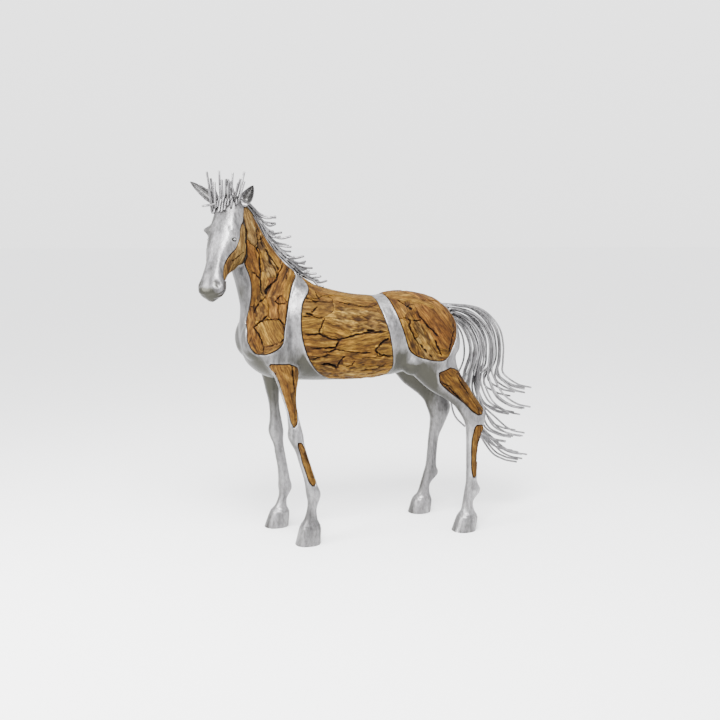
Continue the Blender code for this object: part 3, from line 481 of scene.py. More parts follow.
def leg_details(p, tri):
    """Tendon grooves behind the cannons, the step where the hoof begins, and a soft irregular hand-made surface."""
    n = normals_of(p, tri)
    z = p[:, 2]
    move = np.zeros(len(p))
    for leg, high in ((FORE_LEG, 0.112), (HIND_LEG, 0.098)):
        for stations in (leg, shifted(leg, FORE_SHIFT if leg is FORE_LEG else HIND_SHIFT)):
            rows = smooth_rows(stations, 6)
            keep = rows[:, 1] < 0.70
            fx, fz, bx, bz, y = rows[keep, 0], rows[keep, 1], rows[keep, 2], rows[keep, 3], rows[keep, 4]
            order = np.argsort(fz)
            front = np.interp(z, fz[order], fx[order])
            back = np.interp(z, fz[order], bx[order])
            middle = np.interp(z, fz[order], y[order])
            near = (np.abs(p[:, 1] - middle) < 0.09) & (p[:, 0] > front - 0.04) & (p[:, 0] < back + 0.04) & (z < 0.66)
            share = (p[:, 0] - front) / np.maximum(back - front, 0.02)
            cannon = smoothstep(z, 0.335, 0.385) * (1 - smoothstep(z, 0.54, 0.60))
            groove = np.exp(-(((share - 0.62) / 0.10) ** 2)) * cannon * (np.abs(n[:, 1]) > 0.5)
            move += np.where(near, -0.0032 * groove, 0.0)
            # the coronet: the hoof stands a little proud, with its line sloping down to the heel
            line = high - 0.010 * share
            hoof = 1 - smoothstep(z, line - 0.004, line + 0.004)
            band = np.exp(-(((z - line - 0.010) / 0.007) ** 2))
            move += np.where(near & (z < 0.16), 0.0030 * hoof + 0.0016 * band, 0.0)
    rough = value_noise(p * 9.0, 3) - 0.5 + 0.5 * (value_noise(p * 23.0, 5) - 0.5)
    move += 0.0022 * rough
    p = p + n * move[:, None]
    return p


def flat_soles(p, tri):
    low = p[:, 2] < 0.0
    p = p.copy()
    p[low, 2] = 0.0
    dead = low[tri].all(axis=1)
    return p, tri, dead


# ---------------------------------------------------------------- cutting a mesh along a line drawn on it
class Skin:
    """Triangles with per-vertex fields that are carried along when a line is cut in."""

    def __init__(self, tri, **fields):
        self.tri = tri
        self.fields = fields

    def __getitem__(self, key):
        return self.fields[key]

    def __setitem__(self, key, value):
        self.fields[key] = value

    def cut(self, key, level):
        """New vertices where the field `key` crosses `level`, so that edges run along that line."""
        s = self.fields[key] - level
        s = np.where(np.abs(s) < 1e-7, 1e-7, s)
        up = (s > 0)[self.tri]
        count = up.sum(axis=1)
        whole = (count == 0) | (count == 3)
        cross = self.tri[~whole]
        if not len(cross):
            return self
        u = up[~whole]
        lone = np.where((u.sum(axis=1) == 1)[:, None], u, ~u).argmax(axis=1)
        rows = np.arange(len(cross))
        a, b, c = cross[rows, lone], cross[rows, (lone + 1) % 3], cross[rows, (lone + 2) % 3]
        n0 = len(s)
        e = np.sort(np.concatenate([np.stack([a, b], 1), np.stack([a, c], 1)]), axis=1)
        keys, back = np.unique(e[:, 0] * n0 + e[:, 1], return_inverse=True)
        e0, e1 = keys // n0, keys % n0
        t = s[e0] / (s[e0] - s[e1])
        for name, field in self.fields.items():
            shape = t.reshape((-1,) + (1,) * (field.ndim - 1))
            self.fields[name] = np.concatenate([field, field[e0] * (1 - shape) + field[e1] * shape])
        ab, ac = n0 + back[: len(cross)], n0 + back[len(cross) :]
        self.tri = np.concatenate([self.tri[whole], np.stack([a, ab, ac], 1), np.stack([ab, b, c], 1), np.stack([ab, c, ac], 1)])
        return self

    def part(self, keep):
        """The triangles kept, with their own vertices only."""
        tri = self.tri[keep]
        used, back = np.unique(tri, return_inverse=True)
        made = Skin(back.reshape(-1, 3), **{k: v[used] for k, v in self.fields.items()})
        return made

    def finer(self):
        """Each triangle in four."""
        tri = self.tri
        n0 = len(self.fields["p"])
        e = np.sort(np.concatenate([tri[:, [0, 1]], tri[:, [1, 2]], tri[:, [2, 0]]]), axis=1)
        keys, back = np.unique(e[:, 0] * n0 + e[:, 1], return_inverse=True)
        e0, e1 = keys // n0, keys % n0
        for name, field in self.fields.items():
            self.fields[name] = np.concatenate([field, (field[e0] + field[e1]) / 2])
        m = len(tri)
        ab, bc, ca = n0 + back[:m], n0 + back[m : 2 * m], n0 + back[2 * m :]
        a, b, c = tri[:, 0], tri[:, 1], tri[:, 2]
        self.tri = np.concatenate([np.stack([a, ab, ca], 1), np.stack([ab, b, bc], 1), np.stack([ca, bc, c], 1), np.stack([ab, bc, ca], 1)])
        return self


def outline_distance(u, v, outline):
    """Signed distance in the outline's plane, negative inside, and its direction."""
    outline = np.asarray(outline, float)
    after = np.roll(outline, -1, axis=0)
    best = np.full(len(u), 1e9)
    du, dv = np.zeros(len(u)), np.zeros(len(u))
    inside = np.zeros(len(u), bool)
    for (ax, az), (bx, bz) in zip(outline, after):
        ex, ez = bx - ax, bz - az
        t = np.clip(((u - ax) * ex + (v - az) * ez) / max(ex * ex + ez * ez, 1e-12), 0, 1)
        x, z = u - ax - t * ex, v - az - t * ez
        d = x * x + z * z
        nearer = d < best
        best = np.where(nearer, d, best)
        du, dv = np.where(nearer, x, du), np.where(nearer, z, dv)
        span = (az > v) != (bz > v)
        crossing = span & (u < (bx - ax) * (v - az) / (bz - az if bz != az else 1e-12) + ax)
        inside ^= crossing
    best = np.sqrt(best)
    sign = np.where(inside, -1.0, 1.0)
    scale = sign / np.maximum(best, 1e-9)
    return best * sign, du * scale, dv * scale


def panel_field(p, n, outline, low, high, place):
    """Distance on the surface to a panel's edge, negative on the panel."""
    q = p if place is None else in_head(p)
    m = n if place is None else n @ HEAD_FRAME[:3, :3]
    s, du, dv = outline_distance(q[:, 0], q[:, 2], outline)
    # An outline's line lies farther off on the surface where the surface slants away from its plane.
    lean = np.sqrt(np.clip(1 - (du * m[:, 0] + dv * m[:, 2]) ** 2, 0.12, 1.0))
    s = s / lean
    # A right-handed side view has y going away; the head's second axis is its left.
    y = q[:, 1]
    lean_y = np.sqrt(np.clip(1 - m[:, 1] ** 2, 0.12, 1.0))
    return np.maximum(s, np.maximum((low - y) / lean_y, (y - high) / lean_y))


# ---------------------------------------------------------------- build the form and find its panels
P, TRI = fine_form()
P = head_details(P, TRI)
P = leg_details(P, TRI)
P, TRI, DEAD = flat_soles(P, TRI)
N = normals_of(P, TRI)
SOLE = (P[:, 2] < 0.0005) & (N[:, 2] < -0.5)
FORM_TREE = BVHTree.FromPolygons([Vector(v) for v in P], [tuple(int(i) for i in t) for t in TRI])

# The camera that took the picture, in the modelling frame: the layout of the driftwood is read along its rays.
EYE = np.array([-1.511, -4.929, 1.844])
BACK = np.array([-0.3387, -0.9305, 0.1392])
BACK /= np.linalg.norm(BACK)
RIGHT = np.cross(-BACK, [0, 0, 1])
RIGHT /= np.linalg.norm(RIGHT)
UP = np.cross(RIGHT, -BACK)
FOCAL = 832.0


def seen(u, v):
    """The point of the near side that stands at (u, v) in a 720-pixel picture from that camera."""
    d = RIGHT * (u - 360) / FOCAL - UP * (v - 360) / FOCAL - BACK
    hit = FORM_TREE.ray_cast(Vector(EYE), Vector(d).normalized())
    if hit[0] is None:
        hit = FORM_TREE.find_nearest(Vector(EYE + d * 5.15))
    return np.array(hit[0])


PANELS = []  # name, outline, lowest y, highest y, place


def side_panel(name, outline, gap):
    PANELS.append((name + "_left", outline, -0.60, -gap, None))
    PANELS.append((name + "_right", outline, gap, 0.60, None))


PANELS.append(("barrel_driftwood", closed_curve(BARREL, 6), -0.60, 0.60, None))
side_panel("neck_driftwood", closed_curve(NECK_PANEL, 6), 0.030)
side_panel("haunch_driftwood", closed_curve(HAUNCH, 6), 0.004)
PANELS.append(("jaw_driftwood_left", closed_curve(JAW, 6), 0.035, 0.125, HEAD_FRAME))
PANELS.append(("jaw_driftwood_right", closed_curve([(f, min(z, 1.845)) for f, z in JAW], 6), -0.125, -0.035, HEAD_FRAME))
for limb, (left_leg, right_leg, upper, lower, widths) in LIMB_PANELS.items():
    for side, leg in ((-1, left_leg), (1, right_leg)):
        spread = [(t, max(a, 0.14) if side > 0 else a, b) for t, a, b in widths]
        outline = limb_outline(leg, upper + (0.3 if side > 0 else 0.0), lower - (0.7 if side > 0 else 0.0), spread, 16)
        middle = [row[4] for row in leg]
        centre = float(np.mean(middle[int(upper) : int(lower) + 2]))
        low, high = (-0.60, centre - LIMB_MIDDLE) if side < 0 else (centre + LIMB_MIDDLE, 0.60)
        PANELS.append((f"{limb}_driftwood_{'left' if side < 0 else 'right'}", outline, low, high, None))

SKIN = Skin(TRI[~DEAD], p=P, n=N)
for index, (name, outline, low, high, place) in enumerate(PANELS):
    SKIN[f"s{index}"] = panel_field(SKIN["p"], SKIN["n"], outline, low, high, place)
PANEL_NAMES = [panel[0] for panel in PANELS]
for side in ("left", "right"):
    # Where the two would overlap, the line between them lies halfway.
    jaw, neck = (f"s{PANEL_NAMES.index(which + '_driftwood_' + side)}" for which in ("jaw", "neck"))
    SKIN[jaw], SKIN[neck] = np.maximum(SKIN[jaw], (SKIN[jaw] - SKIN[neck]) / 2), np.maximum(SKIN[neck], (SKIN[neck] - SKIN[jaw]) / 2)
for index in range(len(PANELS)):
    for level in (0.014, 0.009, 0.0055, 0.0025, 0.0):
        SKIN.cut(f"s{index}", level)
SKIN["n"] /= np.maximum(np.linalg.norm(SKIN["n"], axis=1)[:, None], 1e-9)
ALL_S = np.stack([SKIN[f"s{i}"] for i in range(len(PANELS))], 1)
OWNER = np.full(len(SKIN.tri), -1)
centre_s = ALL_S[SKIN.tri].mean(axis=1)
lowest = centre_s.argmin(axis=1)
OWNER = np.where(centre_s.min(axis=1) < 0, lowest, -1)


def to_part(points):
    return points - ORIGIN


# The most triangles that each large piece keeps: fewer where it is hidden or on the far side.
MOST = {
    "metal_horse": 180000, "recesses": 20000, "barrel_driftwood_mosaic": 170000,
    "neck_driftwood_left_mosaic": 100000, "neck_driftwood_right_mosaic": 50000,
    "haunch_driftwood_left_mosaic": 75000, "haunch_driftwood_right_mosaic": 45000,
    "jaw_driftwood_left_mosaic": 38000, "jaw_driftwood_right_mosaic": 22000,
}


def fewer(obj, most):
    """Collapse the edges that matter least until about this many triangles are left."""
    change = obj.modifiers.new("fewer", "DECIMATE")
    change.ratio = most / len(obj.data.polygons)
    made = bpy.data.meshes.new_from_object(obj.evaluated_get(bpy.context.evaluated_depsgraph_get()))
    made.name = obj.name
    obj.modifiers.clear()
    obj.data = made


def shown(name, points, tri, material, smooth=True, **fields):
    """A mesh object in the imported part's frame. Fields become attributes that its material reads."""
    mesh = bpy.data.meshes.new(name)
    mesh.vertices.add(len(points))
    mesh.vertices.foreach_set("co", to_part(points).astype(np.float32).ravel())
    mesh.loops.add(len(tri) * 3)
    mesh.loops.foreach_set("vertex_index", tri.astype(np.int32).ravel())
    mesh.polygons.add(len(tri))
    mesh.polygons.foreach_set("loop_start", np.arange(0, len(tri) * 3, 3, dtype=np.int32))
    mesh.polygons.foreach_set("use_smooth", np.full(len(tri), smooth))
    mesh.update(calc_edges=True)
    for key, value in fields.items():
        kind = "FLOAT_VECTOR" if value.ndim == 2 else "FLOAT"
        attribute = mesh.attributes.new(key, kind, "POINT")
        attribute.data.foreach_set("vector" if value.ndim == 2 else "value", value.astype(np.float32).ravel())
    mesh.materials.append(material)
    obj = bpy.data.objects.new(name, mesh)
    bpy.context.scene.collection.objects.link(obj)
    if len(tri) > MOST.get(name, len(tri)):
        fewer(obj, MOST[name])
    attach(obj, "root")
    return obj


# ---------------------------------------------------------------- materials
def nodes_of(name):
    made = bpy.data.materials.new(name)
    made.use_nodes = True
    tree = made.node_tree
    return made, tree, tree.nodes["Principled BSDF"]


def add(tree, kind, **values):
    node = tree.nodes.new(kind)
    for key, value in values.items():
        if key in node.inputs.keys():
            node.inputs[key].default_value = value
        else:
            setattr(node, key, value)
    return node


def ramp(tree, source, *stops):
    node = tree.nodes.new("ShaderNodeValToRGB")
    elements = node.color_ramp.elements
    while len(elements) < len(stops):
        elements.new(0.5)
    for element, (at, colour) in zip(elements, stops):
        element.position = at
        element.color = (*colour, 1) if len(colour) == 3 else colour
    tree.links.new(source, node.inputs["Fac"])
    return node.outputs["Color"]


def math_node(tree, operation, a, b=None):
    node = tree.nodes.new("ShaderNodeMath")
    node.operation = operation
    for slot, value in ((0, a), (1, b)):
        if value is None:
            continue
        if isinstance(value, (int, float)):
            node.inputs[slot].default_value = value
        else:
            tree.links.new(value, node.inputs[slot])
    return node.outputs[0]


def mixed(tree, factor, a, b, blend="MIX"):
    node = tree.nodes.new("ShaderNodeMix")
    node.data_type, node.blend_type = "RGBA", blend
    for key, value in (("Factor", factor), ("A", a), ("B", b)):
        at = [s for s in node.inputs if s.name == key and (s.type == "RGBA" or key == "Factor" and s.type == "VALUE")][0]
        if isinstance(value, (int, float)):
            at.default_value = value
        elif isinstance(value, tuple):
            at.default_value = (*value, 1)
        else:
            tree.links.new(value, at)
    return [s for s in node.outputs if s.type == "RGBA"][0]


def noise(tree, vector, scale, detail=3.0, roughness=0.55):
    node = add(tree, "ShaderNodeTexNoise", Scale=scale, Detail=detail, Roughness=roughness)
    tree.links.new(vector, node.inputs["Vector"])
    return node.outputs["Fac"]


def stretched(tree, vector, scale):
    node = add(tree, "ShaderNodeMapping")
    node.inputs["Scale"].default_value = scale
    tree.links.new(vector, node.inputs["Vector"])
    return node.outputs["Vector"]


def metal(name="sanded_cast_metal"):
    made, tree, shader = nodes_of(name)
    place = tree.nodes.new("ShaderNodeTexCoord").outputs["Object"]
    cloud = noise(tree, place, 3.2, 4.0, 0.6)
    fleck = noise(tree, stretched(tree, place, (1.0, 1.0, 0.35)), 26.0, 4.0, 0.65)
    streaks = noise(tree, stretched(tree, place, (1.0, 1.0, 0.16)), 17.0, 3.0, 0.55)
    base = ramp(tree, cloud, (0.30, (0.112, 0.109, 0.112)), (0.50, (0.176, 0.172, 0.176)), (0.68, (0.262, 0.258, 0.263)))
    sheen = ramp(tree, streaks, (0.32, (0.46, 0.46, 0.46)), (0.48, (0.94, 0.94, 0.94)), (0.66, (1.42, 1.42, 1.42)))
    colour = mixed(tree, 1.0, base, sheen, "MULTIPLY")
    stain = ramp(tree, fleck, (0.26, (0.52, 0.51, 0.49)), (0.46, (1.0, 1.0, 1.0)))
    colour = mixed(tree, 0.70, colour, stain, "MULTIPLY")
    mottle = noise(tree, stretched(tree, place, (1.0, 1.0, 0.45)), 85.0, 3.0, 0.7)
    colour = mixed(tree, 1.0, colour, ramp(tree, mottle, (0.34, (0.72, 0.71, 0.70)), (0.50, (1.0, 1.0, 1.0)), (0.66, (1.26, 1.26, 1.26))), "MULTIPLY")
    # The attribute read here holds painted shade as well as some dirt; where it lies the colour goes towards near
    # black, in patches.
    dirt = add(tree, "ShaderNodeAttribute", attribute_name="dirt").outputs["Fac"]
    patchy = math_node(tree, "MULTIPLY", dirt, math_node(tree, "ADD", math_node(tree, "MULTIPLY", fleck, 0.9), 0.66))
    patchy.node.use_clamp = True
    colour = mixed(tree, patchy, colour, (0.030, 0.029, 0.023))
    tree.links.new(colour, shader.inputs["Base Color"])
    shader.inputs["Metallic"].default_value = 0.82
    rough = math_node(tree, "MULTIPLY_ADD", mottle, 0.34)
    rough.node.inputs[2].default_value = 0.20
    tree.links.new(rough, shader.inputs["Roughness"])
    height = math_node(tree, "ADD", math_node(tree, "MULTIPLY", fleck, 0.9), math_node(tree, "MULTIPLY", mottle, 0.50))
    bump_node = add(tree, "ShaderNodeBump", Strength=0.34, Distance=0.005)
    tree.links.new(height, bump_node.inputs["Height"])
    tree.links.new(bump_node.outputs["Normal"], shader.inputs["Normal"])
    return made


def driftwood(name="driftwood"):
    """Reads the attributes grain (along, across, piece), tone (0 golden, 1 reddish), grey, relief (0 low, 1 high;
    painted shade in the low places and painted highlight on the high ones) and deep (0 on the face, 1 down in a gap;
    painted shade in the gaps and cracks, plus a darkening of some whole panels).
    """
    made, tree, shader = nodes_of(name)

    def attribute(key):
        return add(tree, "ShaderNodeAttribute", attribute_name=key)

    grain = attribute("grain").outputs["Vector"]
    broad = noise(tree, stretched(tree, grain, (4.0, 24.0, 1.0)), 1.0, 4.0, 0.62)
    fine = noise(tree, stretched(tree, grain, (20.0, 105.0, 1.0)), 1.0, 5.0, 0.72)
    lines = noise(tree, stretched(tree, grain, (5.0, 78.0, 1.0)), 1.0, 3.0, 0.6)
    golden = ramp(tree, broad, (0.28, (0.0405, 0.0176, 0.0019)), (0.44, (0.0686, 0.0343, 0.0037)), (0.56, (0.0915, 0.0502, 0.0065)), (0.72, (0.1232, 0.0774, 0.0136)))
    red = ramp(tree, broad, (0.28, (0.0317, 0.0106, 0.0018)), (0.50, (0.0695, 0.0273, 0.0040)), (0.72, (0.1021, 0.0493, 0.0092)))
    grey = ramp(tree, broad, (0.28, (0.0299, 0.0189, 0.0075)), (0.52, (0.0669, 0.0458, 0.0194)), (0.74, (0.1126, 0.0845, 0.0414)))
    colour = mixed(tree, attribute("tone").outputs["Fac"], golden, red)
    colour = mixed(tree, attribute("grey").outputs["Fac"], colour, grey)
    streak = ramp(tree, fine, (0.33, (0.20, 0.16, 0.12)), (0.44, (0.66, 0.62, 0.56)), (0.52, (1.0, 1.0, 1.0)), (0.66, (1.95, 1.95, 1.85)))
    colour = mixed(tree, 0.92, colour, streak, "MULTIPLY")
    crack = ramp(tree, lines, (0.330, (0.16, 0.11, 0.08)), (0.400, (1.0, 1.0, 1.0)))
    colour = mixed(tree, 0.80, colour, crack, "MULTIPLY")
    # Painted shade in the low places of the wood's relief and painted highlight on its high places.
    painted_relief_light = ramp(tree, attribute("relief").outputs["Fac"], (0.0, (0.28, 0.22, 0.17)), (0.34, (0.68, 0.62, 0.56)), (0.52, (1.0, 1.0, 1.0)), (0.82, (1.50, 1.52, 1.50)))
    colour = mixed(tree, 0.9, colour, painted_relief_light, "MULTIPLY")
    # Painted shade: near black down in the gaps, joints, cracks and splits; some whole panels a little darker.
    deep = ramp(tree, attribute("deep").outputs["Fac"], (0.0, (1.0, 1.0, 1.0)), (0.35, (0.55, 0.47, 0.40)), (0.8, (0.12, 0.08, 0.055)), (1.0, (0.04, 0.026, 0.018)))
    colour = mixed(tree, 1.0, colour, deep, "MULTIPLY")
    tree.links.new(colour, shader.inputs["Base Color"])
    shader.inputs["Roughness"].default_value = 0.72
    shader.inputs["Specular IOR Level"].default_value = 0.10
    height = math_node(tree, "ADD", math_node(tree, "MULTIPLY", fine, 0.7), math_node(tree, "MULTIPLY", lines, 0.6))
    bump_node = add(tree, "ShaderNodeBump", Strength=0.5, Distance=0.004)
    tree.links.new(height, bump_node.inputs["Height"])
    tree.links.new(bump_node.outputs["Normal"], shader.inputs["Normal"])
    return made


def plain(name, colour, roughness, metallic=0.0):
    made, tree, shader = nodes_of(name)
    place = tree.nodes.new("ShaderNodeTexCoord").outputs["Object"]
    tint = ramp(tree, noise(tree, place, 8.0), (0.3, tuple(c * 0.8 for c in colour)), (0.7, colour))
    tree.links.new(tint, shader.inputs["Base Color"])
    shader.inputs["Roughness"].default_value = roughness
    shader.inputs["Metallic"].default_value = metallic
    return made


METAL = metal()
WOOD = driftwood()
SHADOW = plain("recess_shadow", (0.016, 0.011, 0.007), 0.9)
EYE_METAL = plain("eye_metal", (0.17, 0.168, 0.17), 0.30, 0.75)


# ---------------------------------------------------------------- the metal, with a rolled edge round each recess
def rim(s):
    """Height of the metal over the form at a distance from a recess."""
    return np.interp(s, [0.0, 0.0025, 0.0055, 0.009, 0.014], [-0.0032, 0.0006, 0.0018, 0.0011, 0.0])


outer = SKIN.part(OWNER < 0)
nearest = np.min(np.stack([outer[f"s{i}"] for i in range(len(PANELS))], 1), axis=1)
lifted = outer["p"] + outer["n"] * rim(np.maximum(nearest, 0.0))[:, None]
metal_n = normals_of(lifted, outer.tri)
hollow = relaxed(lifted, outer.tri, 8) - lifted
hollow = np.sum(hollow * metal_n, axis=1)
x, y, z = lifted.T
# Painted shade on faces that look down; darker in the hollows.
dirt = 0.08 + 0.75 * smoothstep(-metal_n[:, 2], 0.05, 0.75) * smoothstep(z, 0.30, 0.95) + 0.7 * smoothstep(hollow, 0.0004, 0.0030)
# Painted shade under the barrel, in the groin and between the fore legs, and on the far legs' inner sides.
belly_shade = smoothstep(z, 0.90, 0.99) * (1 - smoothstep(z, 1.05, 1.30)) * smoothstep(x, -0.36, -0.22) * (1 - smoothstep(x, 0.66, 0.80))
dirt += 1.0 * belly_shade * smoothstep(-metal_n[:, 2] + 0.45, 0.0, 0.8)
dirt += 0.55 * (y > 0) * smoothstep(-metal_n[:, 1], 0.0, 0.8) * smoothstep(z, 0.45, 0.95) * (z < 1.15)
# Painted shade on the front and back faces of the legs, so that they are brightest down the middle of each side; hooves
# and joints keep some dirt.
leg = (1 - smoothstep(z, 0.80, 1.05)) * (np.abs(y) > 0.05)
dirt += leg * (0.04 + 0.36 * smoothstep(np.abs(metal_n[:, 0]), 0.50, 0.95) * (0.4 + 0.9 * value_noise(lifted * [18, 18, 5], 92)))
dirt += (1 - smoothstep(z, 0.10, 0.13)) * 0.14 * smoothstep(value_noise(lifted * [60, 60, 14], 93), 0.45, 0.85)
# Painted shade on the lower part of the chest and the strap behind the shoulder.
chest = smoothstep(x, -0.52, -0.45) * (1 - smoothstep(x, 0.02, 0.12)) * (1 - smoothstep(z, 1.02, 1.26)) * smoothstep(z, 0.93, 1.0)
dirt += 0.85 * chest * (0.3 + 0.9 * value_noise(lifted * 9.0, 94))
h = in_head(lifted)
# Painted shade down the lower front of the neck.
neck_front_shade = smoothstep(z, 1.02, 1.14) * (1 - smoothstep(z, 1.55, 1.66)) * smoothstep(-x, 0.42, 0.45) * (h[:, 0] < 0.13)
dirt += neck_front_shade * (0.14 + 0.50 * smoothstep(value_noise(lifted * [16, 16, 7], 95), 0.30, 0.75))
# Painted shade round the mouth, the eyes and the nostrils.
on_head = (z > 1.48) & (h[:, 0] > -0.02) & (x < -0.45)
dirt += on_head * (h[:, 0] > 0.15) * 1.5 * (1 - smoothstep(z + 0.016 * (value_noise(lifted * 34.0, 91) - 0.5), 1.562, 1.612)) * smoothstep(h[:, 1], 0.076, 0.020) * (0.5 + 0.5 * smoothstep(z, 1.505, 1.545))
# Painted shade over the far side of the head.
dirt += on_head * smoothstep(-h[:, 1], 0.022, 0.058) * (0.12 + 0.46 * smoothstep(value_noise(lifted * [34, 34, 5], 97), 0.26, 0.66))
for side_ in (-1, 1):
    ring = np.linalg.norm((h - [0.129, side_ * 0.0900, 1.864]) * [1.0, 0.5, 1.25], axis=1)
    dirt += on_head * 1.1 * np.exp(-(((ring - 0.0105) / 0.0040) ** 2))
    nostril = np.linalg.norm((h - [0.283, side_ * 0.064, 1.622]) * [1.25, 0.5, 0.72], axis=1)
    dirt += on_head * 0.55 * np.exp(-(((nostril - 0.0140) / 0.0045) ** 2))
dirt *= 0.35 + 0.65 * smoothstep(nearest, 0.003, 0.022)
body_piece = shown("metal_horse", lifted, outer.tri, METAL, dirt=np.clip(dirt, 0, 1))
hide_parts("horse_body")


def border_edges(tri):
    e = np.concatenate([tri[:, [0, 1]], tri[:, [1, 2]], tri[:, [2, 0]]])
    low, high = e.min(axis=1), e.max(axis=1)
    key = low * (tri.max() + 1) + high
    _, first, count = np.unique(key, return_index=True, return_counts=True)
    return e[first[count == 1]]


wall_points, wall_tri, base = [], [], 0
for index in range(len(PANELS)):
    patch = SKIN.part(OWNER == index)
    edge = border_edges(patch.tri)
    p, n = patch["p"], patch["n"]
    floor = relaxed(p - n * RECESS, patch.tri, 2)
    wall_points += [floor, p + n * -0.0032]
    size = len(p)
    wall_tri.append(patch.tri + base)
    a, b = edge[:, 0] + base, edge[:, 1] + base
    wall_tri += [np.stack([b, a, a + size], 1), np.stack([b, a + size, b + size], 1)]
    base += 2 * size
recess_piece = shown("recesses", np.concatenate(wall_points), np.concatenate(wall_tri), SHADOW)


# ---------------------------------------------------------------- driftwood
# Chunks are laid out as short lines with a width; each place on a panel belongs to the line that it is nearest to for that line's width.
# (u0, v0, u1, v1, width, tone, grey, rough) in the picture's own pixels for the sides' big panels.
BARREL_CHUNKS = [
    (322, 290, 374, 298, 7.0, 0.25, 0.0, 0.5), (308, 292, 313, 297, 7.0, 0.15, 0.0, 0.6), (306, 300, 330, 301, 3.0, 0.3, 0.0, 0.8),
    (306, 309, 330, 311, 8.0, 0.1, 0.1, 0.7), (340, 301, 384, 308, 7.0, 0.2, 0.0, 0.5), (378, 309, 386, 318, 4.0, 0.3, 0.0, 0.6),
    (332, 315, 382, 322, 11.0, 0.05, 0.25, 1.6), (307, 326, 316, 326, 9.0, 0.1, 0.0, 0.4), (328, 330, 345, 335, 6.0, 0.1, 0.0, 0.5),
    (307, 341, 331, 342, 6.0, 0.3, 0.0, 0.7), (346, 344, 385, 337, 8.0, 0.25, 0.0, 0.6), (381, 348, 389, 348, 7.0, 0.15, 0.0, 0.5),
    (314, 352, 373, 353, 5.0, 0.4, 0.0, 1.0), (316, 361, 340, 359, 6.0, 0.3, 0.0, 1.2), (347, 360, 387, 361, 5.5, 0.35, 0.0, 1.1), (318, 370, 380, 370, 6.0, 0.3, 0.1, 1.3),
]
HAUNCH_CHUNKS = [
    (393, 297, 436, 297, 5.5, 0.35, 0.0, 0.6), (394, 302, 404, 316, 7.0, 0.45, 0.0, 0.6), (411, 304, 413, 309, 5.0, 0.3, 0.0, 1.0),
    (424, 309, 444, 340, 13.0, 0.85, 0.0, 0.5), (442, 303, 453, 325, 5.0, 0.6, 0.0, 0.7), (407, 316, 417, 334, 6.0, 0.3, 0.0, 0.9),
    (403, 322, 417, 354, 5.5, 0.2, 0.1, 1.0), (415, 326, 432, 354, 7.5, 0.1, 0.35, 1.5), (424, 326, 438, 350, 4.5, 0.3, 0.1, 0.9), (440, 352, 447, 352, 5.0, 0.2, 0.0, 0.8),
]
NECK_CHUNKS = [
    (246, 214, 252, 240, 7.0, 0.35, 0.55, 0.5), (255, 222, 259, 236, 3.5, 0.4, 0.2, 0.9), (248, 242, 256, 268, 6.0, 0.75, 0.0, 0.4), (252, 275, 251, 300, 6.5, 0.55, 0.0, 0.5),
    (258, 250, 260, 268, 3.0, 0.4, 0.1, 1.0), (262, 246, 274, 275, 6.5, 0.1, 0.35, 1.6), (263, 276, 265, 293, 3.5, 0.1, 0.2, 1.1), (267, 243, 281, 267, 5.0, 0.35, 0.0, 0.6),
    (283, 262, 271, 292, 7.0, 0.65, 0.0, 0.5), (293, 274, 287, 298, 4.5, 0.4, 0.0, 0.6), (282, 302, 285, 318, 5.5, 0.5, 0.0, 0.6), (273, 299, 275, 316, 6.0, 0.7, 0.0, 0.8),
    (259, 303, 263, 316, 7.0, 0.3, 0.0, 1.3), (249, 314, 248, 336, 5.5, 0.6, 0.0, 0.8), (269, 330, 272, 336, 13.0, 0.05, 0.0, 0.5), (254, 332, 258, 346, 6.0, 0.5, 0.0, 1.0), (266, 350, 278, 345, 5.0, 0.3, 0.1, 0.8),
]
JAW_CHUNKS = [(238, 258, 243, 240, 7.0, 0.20, 0.15, 0.45), (230, 263, 233, 251, 5.0, 0.2, 0.10, 0.5), (234, 272, 240, 266, 4.0, 0.3, 0.15, 0.6)]
# Along a limb: (start, fraction, end, fraction, width in metres, tone, grey, rough) in the panel's own length and the limb's depth.
LIMB_CHUNKS = {
    "forearm": [(0.04, 0.25, 0.95, 0.45, 0.030, 0.62, 0.0, 0.35), (0.10, 0.82, 0.60, 0.92, 0.013, 0.4, 0.1, 0.8), (0.55, 0.80, 0.90, 0.62, 0.014, 0.3, 0.1, 0.8)],
    "fore_cannon": [(0.05, 0.55, 0.95, 0.50, 0.018, 0.4, 0.1, 0.6), (0.25, 0.88, 0.75, 0.90, 0.010, 0.5, 0.0, 0.8)],
    "gaskin": [(0.06, 0.55, 0.80, 0.52, 0.026, 0.45, 0.0, 0.6), (0.25, 0.88, 0.95, 0.80, 0.016, 0.3, 0.1, 0.8), (0.30, 0.38, 0.70, 0.42, 0.012, 0.35, 0.2, 1.0)],
    "hind_cannon": [(0.06, 0.55, 0.92, 0.50, 0.018, 0.4, 0.1, 0.6), (0.30, 0.88, 0.80, 0.86, 0.010, 0.5, 0.0, 0.9)],
}
PIXEL = 0.0062  # metres to a picture pixel at the horse
